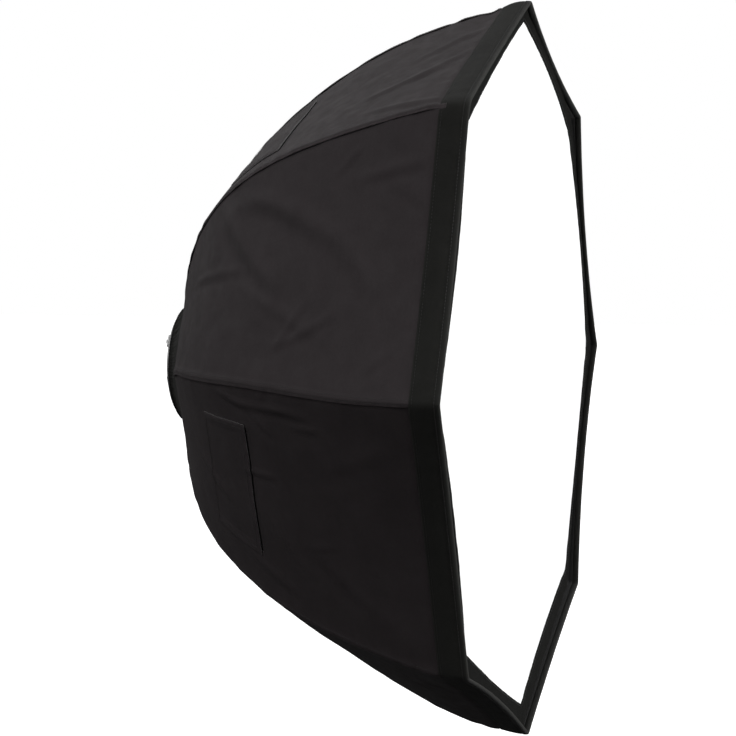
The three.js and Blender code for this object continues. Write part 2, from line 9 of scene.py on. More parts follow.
import bpy
import numpy as np
from mathutils import Matrix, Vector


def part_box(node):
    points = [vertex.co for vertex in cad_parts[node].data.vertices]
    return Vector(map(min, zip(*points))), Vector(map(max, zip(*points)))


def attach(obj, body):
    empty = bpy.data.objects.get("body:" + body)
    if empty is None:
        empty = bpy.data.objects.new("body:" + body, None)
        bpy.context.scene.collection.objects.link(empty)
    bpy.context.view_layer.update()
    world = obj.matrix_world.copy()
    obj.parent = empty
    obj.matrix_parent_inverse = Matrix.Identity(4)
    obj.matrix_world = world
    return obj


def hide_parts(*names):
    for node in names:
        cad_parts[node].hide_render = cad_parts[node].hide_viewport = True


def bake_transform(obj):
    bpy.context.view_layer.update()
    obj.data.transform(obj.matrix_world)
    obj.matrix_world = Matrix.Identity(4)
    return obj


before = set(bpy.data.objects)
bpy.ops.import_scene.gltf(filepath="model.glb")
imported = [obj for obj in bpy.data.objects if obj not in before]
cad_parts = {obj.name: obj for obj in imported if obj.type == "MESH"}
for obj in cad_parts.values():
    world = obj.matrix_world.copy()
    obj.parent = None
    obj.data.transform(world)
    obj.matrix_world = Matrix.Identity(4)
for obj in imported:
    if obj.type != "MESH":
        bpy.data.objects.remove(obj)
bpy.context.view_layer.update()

MM = 0.001

# ---------------------------------------------------------------- driving sizes
SIDES = 8
RIM_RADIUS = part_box("lip_binding")[1].z
RIM_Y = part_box("lip_binding")[0].y
# Meridian of the outer seam line, a Bezier curve: distance behind the rim, and radius.
MERIDIAN = ((0.453, 0.075), (0.384, 0.399), (0.233, 0.375), (0.075, 0.485), (0.0, RIM_RADIUS))
SHELL_REAR_RADIUS = 92 * MM
# Tension differs from side to side. For the middle of each side: how far the rim is drawn in, how far it is
# drawn back, how far the edge of the white window bows out, and how far behind the rim the diffuser lies.
SIDE_DRAW = np.array([6, 16, 18, 4, 8, 18, 20.7, 2]) * MM
SIDE_SCALLOP = np.array([3, 2, 2, 0, 1, 4.5, 3.8, 3]) * MM
WINDOW_BOW = np.array([1, 1, 1, -9, 5, 4, -1, 10]) * MM
RECESS_MIDDLE = np.array([6.5, 8, 12, 12, 9, 6.5, 6.5, 8]) * MM
LIP_FILLET = np.array([5, 5, 5, 5, 5, 9, 6, 18]) * MM  # rounding of the rim at each corner
# Some rods bend unevenly under the weight. For such a corner: swells of its seam line, each with its
# distance behind the rim, its reach and its height.
ROD_SWELLS = {
    0: ((50 * MM, 18 * MM, -5 * MM), (90 * MM, 55 * MM, -4 * MM), (300 * MM, 75 * MM, -5 * MM)),
    4: ((0, 30 * MM, 3.5 * MM), (95 * MM, 55 * MM, 6 * MM), (265 * MM, 70 * MM, -6.5 * MM)),
    5: ((320 * MM, 60 * MM, -6 * MM),),
}
# Some rods also lean to one side. For such a corner: how far its seam line is carried round towards the next
# corner. The lean starts, is full, falls away and ends at these distances behind the rim.
ROD_LEANS = {6: 10.5 * MM, 7: 5 * MM}
LEAN_START = 90 * MM
LEAN_FULL = 300 * MM
LEAN_FALL = 395 * MM
LEAN_END = 440 * MM
CORNER_FILLET = 5 * MM
LIP_DEPTH = 37 * MM
GORE_FRONT = 29 * MM  # the gores run on under the lip to this distance behind the rim
CLOTH = 0.6 * MM

FOLD_HEIGHT = 1.3 * MM  # the folded seam allowance that lies over the neighbouring gore
FOLD_STITCH = 1.9 * MM
STITCH_PITCH = 4.2 * MM
STITCH_LENGTH = 3 * MM
STITCH_WIDTH = 0.55 * MM
STITCH_HEIGHT = 0.35 * MM
# Gores with a flap, and the shares of the side at the flap's two side edges.
FLAP_GORES = {1: (0.22, 0.8), 3: (0.16, 0.77), 5: (0.22, 0.8), 7: (0.16, 0.77)}
FLAP_REAR = 336 * MM  # behind the rim
FLAP_FRONT = 268 * MM
FLAP_OVERLAP = 4 * MM
FLAP_OPEN = 2 * MM  # open line in front of the flap's free edge
FLAP_ROOT = 7 * MM  # the flap runs on behind the window to its seam
FLAP_BEND = 9 * MM  # depth of the cloth that bends where the flap turns
HEM = 9 * MM
# Strips along a flap's free edge: where each starts and ends behind that edge and its two heights above the
# gore, in millimetres, the share of the flap's width left free at each side, and the material.
FLAP_STRIPS = {
    "hook_strip": ((17, 1.5), (0.1, -1.0), 0.05, "hook"),
    "placket": ((20, -9), (-2.5, -3.2), 0.0, "shell"),
    "loop_strip": ((18, 1), (-1.4, -2.3), 0.05, "loop"),
}

DIFFUSER_RECESS = 12 * MM
RECESS_CORNER = np.array([12, 15, 12, 16, 12, 12, 12, 12]) * MM  # how far the diffuser lies behind a corner
# Radius at each corner of the white octagon inside the black border.
WINDOW_CORNER = np.array([449, 440, 440, 440, 440, 440, 440, 440]) * MM
LIP_INSIDE = 5.4 * MM  # depth of the diffuser's edge inside the lip's outer face

ROD_RADIUS = 3 * MM
ROD_INSET = 9.5 * MM  # from the seam line in to the rod's centre line
ROD_END_BEHIND = 44 * MM  # behind the rim
ROD_ROOT_RADIUS = 67 * MM
SOCKET_END = 86 * MM  # radius
BAFFLE_RADIUS = 330 * MM
BAFFLE_COLUMNS = SIDES * 40
BAFFLE_Y = sum(c.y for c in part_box("inner_baffle")) / 2
LOCK_ANGLE = math.radians(112.5)
LOCK_Y = -5 * MM

STEP_ANGLE = 2 * math.pi / SIDES
HALF_SIDE = math.pi / SIDES

GORE_CELL = 4 * MM
# Distances of a gore's first columns from corner k, and of its last ones from corner k + 1.
START_COLUMNS = np.array([-5, -4.7, -3.9, -2.7, -FOLD_STITCH / MM, -1.1, -0.3, 0.8, 2.2, 4, 6.5, 9, 12]) * MM
END_COLUMNS = np.array([13, 10, 8, 6.5, 5.2, 4, 2.5, 1, -1, -3]) * MM
MIDDLE_COLUMNS = 76
AROUND = SIDES * 72  # columns of a band round the box
AROUND_TURNS = np.arange(AROUND) * SIDES / AROUND

# The world's light by height, as two heights and the values at them: it rises above the horizon, and falls
# again towards the top.
SKY_RISE = (0.0, 0.3, 0.04, 0.82)
SKY_FALL = (0.3, 0.65, 1.0, 0.55)
# Area lights: place, the point they face, width and power in watts.
LIGHTS = {
    "front_light": ((0.1, RIM_Y - 3.0, 0.1), (0, RIM_Y, 0), 1.2, 109),
    "side_light": ((-2.0, 0.2, 2.1), (0, -0.25, 0.05), 1.2, 10),
}
FLOOR_DROP = 1.4
FLOOR_REACH = 30
FLOOR_GLOW = 0.95
# The camera turns round the rim's centre by its azimuth and elevation, and then round itself. Degrees.
CAMERA_AZIMUTH = -77.911
CAMERA_ELEVATION = 4.756
CAMERA_DISTANCE = 3.035
CAMERA_YAW = 3.975
CAMERA_PITCH = 0.0514
CAMERA_ROLL = 0.231
CAMERA_LENS = 114.46
CAMERA_SENSOR = 36
CAMERA_REACH = 100

TURNED_EDGE = 8 * MM  # cloth turned in along a gore's edges
COLLAR_MAP_RADIUS = 0.11  # the collar's weave is mapped as if it lay at this radius
PLEATS = 46
FINE_PLEATS = 118


# ---------------------------------------------------------------- the shell as a surface
def bezier(points, t):
    """Points of a Bezier curve of any degree at the parameters t."""
    t = np.asarray(t, float)[..., None]
    level = [np.broadcast_to(np.array(p, float), t.shape[:-1] + (2,)) for p in points]
    while len(level) > 1:
        level = [a * (1 - t) + b * t for a, b in zip(level[:-1], level[1:])]
    return level[0]


def arc_behind(distance):
    """Arc length along the meridian, from its rear end, at a distance behind the rim."""
    return np.interp(-np.asarray(distance, float), -FINE[:, 0], FINE_ARC)


def arc_at_radius(radius):
    return float(np.interp(radius, FINE[:, 1], FINE_ARC))


def radius_at(arc):
    return np.interp(arc, FINE_ARC, FINE[:, 1])


def side_length(arc):
    return 2 * radius_at(arc) * math.sin(HALF_SIDE)


def smooth(x):
    x = np.clip(x, 0, 1)
    return x * x * (3 - 2 * x)


def unit(vectors):
    vectors = np.asarray(vectors, float)
    return vectors / np.linalg.norm(vectors, axis=-1, keepdims=True)


def travelled(points):
    """Distance along a line of points, from its start to each of them."""
    return np.concatenate([[0], np.cumsum(np.linalg.norm(np.diff(points, axis=0), axis=1))])


def paired(a, b):
    """Two grids as one grid of pairs."""
    return np.stack(np.broadcast_arrays(a, b), -1)


def hump(x, reach):
    """A bell curve of height 1."""
    return np.exp(-((x / reach) ** 2))


def full_turn(count):
    return np.linspace(0, 2 * math.pi, count, endpoint=False)


def circle(angle, e1, e2):
    """Unit vectors at the angles from e1 towards e2."""
    return np.cos(angle)[:, None] * e1 + np.sin(angle)[:, None] * e2


FINE = bezier(MERIDIAN, np.linspace(0, 1, 2001))
FINE_ARC = travelled(FINE)
ARC_RIM = float(FINE_ARC[-1])
RIM_SIDE = float(side_length(ARC_RIM))


def polar(radius, angle, y=0.0):
    """A point at a radius and an angle clockwise from the top."""
    radius, angle, y = np.broadcast_arrays(radius, angle, y)
    return np.stack([radius * np.sin(angle), y, radius * np.cos(angle)], -1)


def along_side(turn):
    """The place along the side from 0 to 1, the side's number, and a bow that is 1 in the side's middle."""
    side = np.floor(turn)
    u = turn - side
    return u, side.astype(int) % SIDES, 4 * u * (1 - u)


def swell(corner, behind):
    """How far a corner's seam line lies outside the common meridian."""
    total = 0 * behind
    for number, places in ROD_SWELLS.items():
        for centre, reach, height in places:
            total = total + (corner % SIDES == number) * height * hump(behind - centre, reach)
    return total


def rounded_corner(turn, fillet):
    """Octagon of unit corner radius at turn, counted in corners, with each corner rounded over fillet, a
    share of a side, to each side of it. Returns the points and the place along the side, from 0 to 1."""
    side = np.floor(turn)
    u = turn - side
    a, b = polar(1.0, side * STEP_ANGLE), polar(1.0, (side + 1) * STEP_ANGLE)
    plain = a + (b - a) * u[..., None]
    k = np.where(u < 0.5, side, side + 1)
    past = np.where(u < 0.5, u, u - 1)
    tip, before, after = (polar(1.0, (k + i) * STEP_ANGLE) for i in (0, -1, 1))
    f = fillet[..., None]
    q = (past[..., None] + f) / (2 * f)
    start, end = tip + (before - tip) * f, tip + (after - tip) * f
    curve = start * (1 - q) ** 2 + 2 * tip * q * (1 - q) + end * q**2
    return np.where((np.abs(past) < fillet)[..., None], curve, plain), u


def shell_point(arc, turn, fillet=CORNER_FILLET):
    """Points on the taut outer surface: arc along the meridian, and turn in corners round the box."""
    arc, turn = (np.asarray(part, float) for part in np.broadcast_arrays(arc, turn))
    behind = np.interp(arc, FINE_ARC, FINE[:, 0])
    fillet = np.broadcast_to(fillet, SIDES)[np.round(turn).astype(int) % SIDES]
    octagon = rounded_corner(turn, fillet / side_length(arc))[0]
    flap_front = arc_behind(FLAP_FRONT)
    share = np.clip((arc - flap_front) / (ARC_RIM - flap_front), 0, 1) ** 2
    u, side, bow = along_side(turn)
    radius = radius_at(arc) + swell(side, behind) * (1 - u) ** 1.5 + swell(side + 1, behind) * u**1.5
    points = octagon * radius[..., None] - polar(bow * share * SIDE_DRAW[side], (side + 0.5) * STEP_ANGLE)
    points[..., 1] = RIM_Y + behind + bow * share * SIDE_SCALLOP[side]
    return points


def shell_offset(arc, turn, height, fillet=CORNER_FILLET):
    """Points at a height above the taut surface, along its normal."""
    arc, turn, height = (np.asarray(part, float) for part in np.broadcast_arrays(arc, turn, height))
    step_arc, step_turn = 1 * MM, 0.004
    inside = np.minimum(arc, ARC_RIM - 2 * step_arc)
    along = shell_point(inside + step_arc, turn, fillet) - shell_point(inside - step_arc, turn, fillet)
    across = shell_point(inside, turn + step_turn, fillet) - shell_point(inside, turn - step_turn, fillet)
    normal = unit(np.cross(along, across))
    return shell_point(arc, turn, fillet) + normal * height[..., None]


# ---------------------------------------------------------------- folds in cloth
def value_noise(x, y, seed):
    """Smooth noise from -1 to 1 on a lattice of unit cells."""
    size = 64
    lattice = np.random.default_rng(seed).uniform(-1, 1, (size, size))
    xi, yi = np.floor(x).astype(int), np.floor(y).astype(int)
    fx, fy = smooth(x - xi), smooth(y - yi)
    corner = [[lattice[(xi + i) % size, (yi + j) % size] for j in (0, 1)] for i in (0, 1)]
    low = corner[0][0] * (1 - fx) + corner[1][0] * fx
    high = corner[0][1] * (1 - fx) + corner[1][1] * fx
    return low * (1 - fy) + high * fy


def fractal(x, y, size, seed):
    """Noise with features of a size, and of a half and a quarter of it."""
    total = 0
    for i in range(3):
        total = total + value_noise(x / size * 2**i + 17.3 * i, y / size * 2**i + 9.1 * i, seed + i) / 2**i
    return total


def crease(x, y, at_x, at_y, angle, length, width, height, curl):
    """A soft crease centred on a point: a ridge with a shallow valley beside it, fading at both ends.
    The sizes are in millimetres, and curl bends it, in curvature per metre."""
    c, s = math.cos(math.radians(angle)), math.sin(math.radians(angle))
    dx, dy = x - at_x * MM, y - at_y * MM
    along = dx * c + dy * s
    across = -dx * s + dy * c + curl * along**2
    fade = np.exp(-((2 * along / (length * MM)) ** 4))
    q = across / (width * MM)
    return height * MM * fade * (hump(q, 1) - 0.5 * hump(q - 1.6, 1))


# Creases of the gores near the camera: place along the side and from the rim, in millimetres, angle from the
# side's direction towards the rear in degrees, length, width and height in millimetres, and curl.
PLACED_CREASES = {
    5: (
        (335, 310, 70, 60, 6, 1.6, 0), (330, 260, 90, 85, 6, 1.6, 1),
        (330, 215, 85, 60, 6, 1.3, 0), (305, 260, 45, 45, 5, 1.3, 0),
        (355, 255, 180, 30, 5, 1.3, 0), (220, 275, 95, 50, 5, 1.4, 0),
        (310, 190, 90, 40, 5, 1.1, 0), (135, 185, 110, 45, 5, 0.7, 0),
        (170, 375, 50, 80, 8, 1.8, 0.5), (275, 125, 115, 110, 12, 0.8, 0),
        (120, 240, 35, 80, 7, 1.1, 1), (60, 300, 70, 120, 9, 1.3, 0.8),
        (90, 150, 50, 120, 12, 1.5, 0.4),
    ),
    6: (
        (225, 310, 35, 200, 13, 3.8, 0.8), (270, 245, 55, 170, 14, 3.4, -0.6),
        (90, 220, 150, 75, 5, 1.7, 0), (85, 195, 120, 95, 6, 1.7, 1),
        (120, 80, 10, 110, 7, 1.4, 0), (50, 85, 130, 50, 5, 1.3, 0),
        (185, 135, 40, 130, 13, 2.4, 0), (320, 155, 135, 45, 5, 1.7, 0),
        (295, 90, 95, 90, 8, 1.8, 0), (110, 230, 60, 150, 10, 1.3, 0.5),
        (200, 370, 80, 120, 10, 1.4, 0.4), (260, 60, 55, 70, 8, 1, 0.6),
    ),
    7: (
        (135, 120, 115, 110, 8, 1.5, 0.5), (170, 75, 135, 100, 8, 1.4, 0),
        (30, 80, 75, 120, 7, 1.8, 0), (90, 190, 30, 120, 10, 1.4, -0.5),
        (260, 80, 130, 120, 9, 1.2, 0),
    ),
}


def random_creases(k):
    """Creases of a gore that has none listed."""
    random = np.random.default_rng(400 + k)
    rows = []
    for _ in range(9):
        at = (random.uniform(50, 310), random.uniform(60, 360))
        angle = random.choice([35, 60, 120, 150]) + random.uniform(-12, 12)
        size = random.uniform(70, 140)
        rows.append((*at, angle, size, 0.07 * size, random.uniform(0.8, 1.1), random.uniform(-1, 1)))
    return rows


def gore_relief(k, s, arc):
    """Height of gore k's cloth above the taut surface, s metres along the side from corner k."""
    length = side_length(arc)
    rim = ARC_RIM - arc
    to_end = length - s
    from_edge = np.minimum(s, to_end)
    # Slack cloth: broad and fine waves that die away towards the seams, and creases. The side grows longer
    # towards the rim, so a crease's place along it is kept as a share.
    height = 1.7 * MM * fractal(s, rim, 0.13, 10 * k) * smooth((from_edge - 8 * MM) / (40 * MM))
    height += 0.3 * MM * fractal(s, rim, 0.03, 200 + 10 * k) * smooth(from_edge / (20 * MM))
    for place in PLACED_CREASES.get(k) or random_creases(k):
        height += crease(s / length * RIM_SIDE, rim, *place) * smooth(from_edge / (12 * MM))
    # Puckers along both seams, stronger near the lip, and puckers along the lip's stitching.
    pucker = value_noise(rim / 0.013, 0 * rim, 300 + k) * np.exp(-np.abs(s) / (16 * MM))
    pucker += value_noise(rim / 0.013, 0 * rim, 320 + k) * np.exp(-np.abs(to_end) / (20 * MM))
    height += 0.55 * MM * pucker * (1 + 1.2 * hump(rim - 70 * MM, 50 * MM))
    height += 0.5 * MM * value_noise(s / 0.016, 0 * s, 340 + k) * np.exp(-np.abs(rim - LIP_DEPTH) / (18 * MM))
    # The end edge is held down under the neighbour's fold. This gore's own fold stands higher away from the
    # rim, and its stitching pulls a groove into it.
    height -= 0.75 * MM * (1 - smooth((to_end - 4 * MM) / (9 * MM)))
    raised = 0.6 + 0.4 * smooth((rim - 70 * MM) / (90 * MM))
    height += FOLD_HEIGHT * raised * (1 - smooth((s + 1 * MM) / (10 * MM)))
    height -= 0.25 * MM * hump(s + FOLD_STITCH, 0.8 * MM)
    # The front end lies under the lip.
    under_lip = smooth((arc - arc_behind(LIP_DEPTH + 5 * MM)) / (5 * MM))
    return height * (1 - under_lip) - 1.5 * MM * under_lip


# ---------------------------------------------------------------- shapes: (vertices, list of face arrays)
def combined(*shapes):
    vertices, faces, start = [], [], 0
    for points, groups in shapes:
        vertices.append(np.asarray(points, float))
        faces += [np.asarray(group) + start for group in groups]
        start += len(points)
    return np.concatenate(vertices), faces


def lofted(rings, closed=False):
    """Rings of points joined in order, each ring a closed loop. The ends are capped, or joined if closed."""
    rings = np.asarray(rings, float)
    rows, columns = rings.shape[:2]
    index = np.arange(rows * columns).reshape(rows, columns)
    if closed:
        index = np.concatenate([index, index[:1]])
    a, d = index[:-1], index[1:]
    quads = np.stack([a, np.roll(a, -1, 1), np.roll(d, -1, 1), d], -1).reshape(-1, 4)
    vertices = rings.reshape(-1, 3)
    if closed:
        return vertices, [quads]
    centres = np.stack([rings[0].mean(0), rings[-1].mean(0)])
    first, last = index[0], index[-1]
    low = np.stack([np.roll(first, -1), first, np.full(columns, rows * columns)], -1)
    high = np.stack([last, np.roll(last, -1), np.full(columns, rows * columns + 1)], -1)
    return np.concatenate([vertices, centres]), [quads, low, high]


def softened(outline, radius):
    """A closed outline with each corner replaced by a short curve."""
    points = [np.array(p, float) for p in outline]
    out = []
    for i, here in enumerate(points):
        before, after = points[i - 1], points[(i + 1) % len(points)]
        to_before, to_after = before - here, after - here
        reach = min(radius, 0.45 * np.linalg.norm(to_before), 0.45 * np.linalg.norm(to_after))
        a, b = here + unit(to_before) * reach, here + unit(to_after) * reach
        for q in (0, 0.25, 0.5, 0.75, 1):
            out.append(a * (1 - q) ** 2 + 2 * here * q * (1 - q) + b * q**2)
    return np.array(out)


def axes_round(direction):
    """The unit direction and two unit vectors square to it."""
    d = unit(direction)
    side = unit(np.cross(d, [0, 0, 1.0] if abs(d[2]) < 0.9 else [1.0, 0, 0]))
    return d, side, np.cross(d, side)


def lathed(outline, bevel, origin, direction, segments):
    """A solid of revolution of (radius, distance along) points in millimetres, with softened corners."""
    d, e1, e2 = axes_round(direction)
    ring = circle(full_turn(segments), e1, e2)
    outline = softened(np.array(outline) * MM, bevel * MM)
    return lofted([np.asarray(origin) + d * along + ring * radius for radius, along in outline], closed=True)


def tube(path, radius, segments=20):
    """A round bar along a path."""
    along = unit(np.gradient(path, axis=0))
    e1 = axes_round(along[0])[1]
    rings = []
    for point, direction in zip(path, along):
        e1 = unit(e1 - direction * (e1 @ direction))
        rings.append(point + radius * circle(full_turn(segments), e1, np.cross(direction, e1)))
    return lofted(rings)


def stitch_run(points, normals):
    """Stitches of thread along a line of points, each lying on the cloth."""
    travel = travelled(points)
    count = int(travel[-1] / STITCH_PITCH)
    starts = (np.arange(count) + 0.5) * (travel[-1] / count) - STITCH_LENGTH / 2
    stations = starts[:, None] + np.array([0, 0.18, 0.5, 0.82, 1]) * STITCH_LENGTH
    fullness = np.array([0.25, 0.85, 1, 0.85, 0.25])

    def at(values):
        return np.stack([np.interp(stations, travel, values[:, i]) for i in range(3)], -1)

    place, up = at(points), unit(at(normals))
    side = unit(np.cross(up, place[:, -1:] - place[:, :1]))
    angle = full_turn(6)[:, None]
    across = side[:, :, None] * np.cos(angle) * STITCH_WIDTH / 2
    across = across + up[:, :, None] * np.sin(angle) * STITCH_HEIGHT
    return combined(*[lofted(one) for one in place[:, :, None] + across * fullness[:, None, None]])


def shell_stitches(arc, turn, height, fillet=CORNER_FILLET):
    """Stitches along a line on the shell, at a height above the taut surface."""
    points = shell_offset(arc, turn, height, fillet)
    return stitch_run(points, shell_offset(arc, turn, height + 1 * MM, fillet) - points)


# ---------------------------------------------------------------- objects
def leaned(points):
    """The points, carried round with the rods that lean."""
    points = np.array(points, float)
    behind = points[:, 1] - RIM_Y
    rise = smooth((behind - LEAN_START) / (LEAN_FULL - LEAN_START))
    depth = rise * (1 - smooth((behind - LEAN_FALL) / (LEAN_END - LEAN_FALL)))
    depth *= np.clip(np.hypot(points[:, 0], points[:, 2]) / np.interp(-behind, -FINE[:, 0], FINE[:, 1]), 0, 1)
    turn = np.arctan2(points[:, 0], points[:, 2]) / STEP_ANGLE % SIDES
    side = np.floor(turn).astype(int) % SIDES
    along = 0.5 + 0.5 * np.tan((turn % 1 - 0.5) * STEP_ANGLE) / math.tan(HALF_SIDE)
    for corner, distance in ROD_LEANS.items():
        share = (side == corner) * (1 - along) + (side == (corner - 1) % SIDES) * along
        angle = corner * STEP_ANGLE
        points += (share * depth * distance)[:, None] * np.array([math.cos(angle), 0, -math.sin(angle)])
    return points


def make_piece(name, shape, materials, which=None, uvs=None, wear=None, period=None, sharp=45):
    """An object from a shape, turned outwards, with the named materials. which is each face's material. uvs
    are per vertex, in metres; where they start again round a closed band, period is its length."""
    vertices, groups = shape
    solid = 0.0
    for group in groups:
        corners = vertices[group]
        for i in range(1, group.shape[1] - 1):
            cross = np.cross(corners[:, i], corners[:, i + 1])
            solid += np.einsum("ij,ij->", corners[:, 0], cross)
    if solid < 0:
        groups = [group[:, ::-1] for group in groups]
    sizes = np.concatenate([np.full(len(group), group.shape[1]) for group in groups])
    corners = np.concatenate([group.ravel() for group in groups]).astype(np.int32)
    mesh = bpy.data.meshes.new(name)
    mesh.vertices.add(len(vertices))
    mesh.vertices.foreach_set("co", leaned(vertices).astype(np.float32).ravel())
    mesh.loops.add(len(corners))
    mesh.loops.foreach_set("vertex_index", corners)
    mesh.polygons.add(len(sizes))
    mesh.polygons.foreach_set("loop_start", np.concatenate([[0], np.cumsum(sizes)[:-1]]).astype(np.int32))
    for material in materials.split():
        mesh.materials.append(MATERIALS[material])
    if which is not None:
        mesh.polygons.foreach_set("material_index", np.asarray(which, np.int32))
    mesh.polygons.foreach_set("use_smooth", np.ones(len(sizes), bool))
    mesh.update(calc_edges=True)
    mesh.validate()
    if uvs is not None:
        corner_uv = np.asarray(uvs, np.float32)[corners]
        if period is not None:
            face_uv = corner_uv.reshape(-1, 4, 2)
            wraps = np.ptp(face_uv[..., 0], axis=1) > period / 2
            face_uv[..., 0] += np.where(wraps[:, None] & (face_uv[..., 0] < period / 2), period, 0)
        mesh.uv_layers.new(name="cloth").data.foreach_set("uv", corner_uv.ravel())
    if wear is not None:
        attribute = mesh.attributes.new("wear", "FLOAT", "POINT")
        attribute.data.foreach_set("value", np.asarray(wear, np.float32))
    mesh.set_sharp_from_angle(angle=math.radians(sharp))
    piece = bpy.data.objects.new(name, mesh)
    bpy.context.scene.collection.objects.link(piece)
    return piece


def thick_sheet(name, outer, inner, uv, materials, hole=None, wrap=False, wear=None, period=None):
    """A closed sheet between two grids of points. hole marks cells that are left open, and wrap joins the
    last column to the first. The outer face has the first material, and the rest the second."""
    rows, columns = outer.shape[:2]
    index = np.arange(rows * columns).reshape(rows, columns)
    left = index if wrap else index[:, :-1]
    right = np.roll(index, -1, axis=1) if wrap else index[:, 1:]
    cells = np.stack([left[:-1], right[:-1], right[1:], left[1:]], -1)
    top = cells.reshape(-1, 4) if hole is None else cells[~hole]
    bottom = top[:, ::-1] + rows * columns
    edges = np.concatenate([top[:, [i, (i + 1) % 4]] for i in range(4)])
    _, first, counts = np.unique(np.sort(edges, axis=1), axis=0, return_index=True, return_counts=True)
    rim = edges[first[counts == 1]]
    walls = np.stack([rim[:, 1], rim[:, 0], rim[:, 0] + rows * columns, rim[:, 1] + rows * columns], -1)
    faces = np.concatenate([top, bottom, walls])
    vertices = np.concatenate([outer.reshape(-1, 3), inner.reshape(-1, 3)])
    used, remapped = np.unique(faces, return_inverse=True)
    faces = remapped.reshape(faces.shape)
    uvs = np.concatenate([uv.reshape(-1, 2)] * 2)[used]
    worn = None
    if wear is not None:
        worn = np.concatenate([wear.ravel(), wear.ravel() * 0])[used]
    which = np.concatenate([np.zeros(len(top)), np.ones(len(bottom) + len(walls))])
    which = np.minimum(which, len(materials.split()) - 1)
    return make_piece(name, (vertices[used], [faces]), materials, which, uvs, worn, period)


def shell_sheet(name, arcs, turn, top, bottom, s, materials, hole=None, wear=None):
    """A sheet on the shell between two heights above the taut surface, mapped by s and the arc."""
    outer, inner = shell_offset(arcs, turn, top), shell_offset(arcs, turn, bottom)
    return thick_sheet(name, outer, inner, paired(s, arcs), materials, hole, wear=wear)


def disc_sheet(name, front, back, *place):
    """A closed round sheet of white cloth between two grids, whose rows are rings from the middle out."""
    vertices, groups = lofted(np.concatenate([front, back[::-1]]))
    return make_part(name, (vertices, groups), "diffuser", *place, uvs=vertices[:, [0, 2]])


def belongs(piece, body, slot, *nodes):
    """The piece, riding on a body, with the CAD nodes it stands for. The slot is not used."""
    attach(piece, body)
    if nodes:
        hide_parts(*nodes)
    return piece


def make_part(name, shape, materials, body, slot, *nodes, **rest):
    """A piece made and given its body and CAD nodes in one call. The slot is passed on, and not used."""
    return belongs(make_piece(name, shape, materials, **rest), body, slot, *nodes)


# ---------------------------------------------------------------- materials
class Nodes:
    """The node tree of a material or the world, with short calls for the nodes used here."""

    def __init__(self, owner):
        self.owner = owner
        owner.use_nodes = True
        self.tree = owner.node_tree
        self.shader = self.tree.nodes.get("Principled BSDF")

    def put(self, kind, **sockets):
        node = self.tree.nodes.new(kind)
        for name, value in sockets.items():
            self.feed(node.inputs[name.replace("_", " ")], value)
        return node

    def feed(self, socket, value):
        if isinstance(value, bpy.types.NodeSocket):
            self.tree.links.new(value, socket)
        else:
            socket.default_value = value

    def math(self, operation, a, b=0.0):
        node = self.tree.nodes.new("ShaderNodeMath")
        node.operation = operation
        self.feed(node.inputs[0], a)
        self.feed(node.inputs[1], b)
        return node.outputs[0]

    def noise(self, place, scale, detail=3.0, rough=0.55):
        node = self.put("ShaderNodeTexNoise", Vector=place, Scale=scale, Detail=detail, Roughness=rough)
        return node.outputs["Fac"]

    def blend(self, share, a, b):
        node = self.tree.nodes.new("ShaderNodeMix")
        node.data_type = "RGBA"
        self.feed(node.inputs[0], share)
        self.feed(node.inputs[6], a)
        self.feed(node.inputs[7], b)
        return node.outputs[2]

    def span(self, value, low, high, start, end, curve="LINEAR"):
        """The value's range from low to high, mapped to the range from start to end."""
        node = self.put("ShaderNodeMapRange", Value=value)
        node.interpolation_type = curve
        for i, number in enumerate((low, high, start, end)):
            node.inputs[i + 1].default_value = number
        return node.outputs[0]

    def place(self, cloth_map):
        if cloth_map:
            node = self.tree.nodes.new("ShaderNodeUVMap")
            node.uv_map = "cloth"
            return node.outputs[0]
        return self.tree.nodes.new("ShaderNodeTexCoord").outputs["Object"]

    def bump(self, height, strength, distance, under=None):
        node = self.put("ShaderNodeBump", Strength=strength, Distance=distance, Height=height)
        if under is not None:
            self.feed(node.inputs["Normal"], under)
        return node.outputs[0]

    def finish(self, colour, roughness, normal=None, **constants):
        self.feed(self.shader.inputs["Base Color"], colour)
        self.feed(self.shader.inputs["Roughness"], roughness)
        if normal is not None:
            self.feed(self.shader.inputs["Normal"], normal)
        for name, value in constants.items():
            self.shader.inputs[name.replace("_", " ")].default_value = value
        return self.owner


def material_nodes(name):
    return Nodes(bpy.data.materials.new(name))


def grey(value, tint=(1, 1, 1)):
    return tuple(value * part for part in tint) + (1.0,)


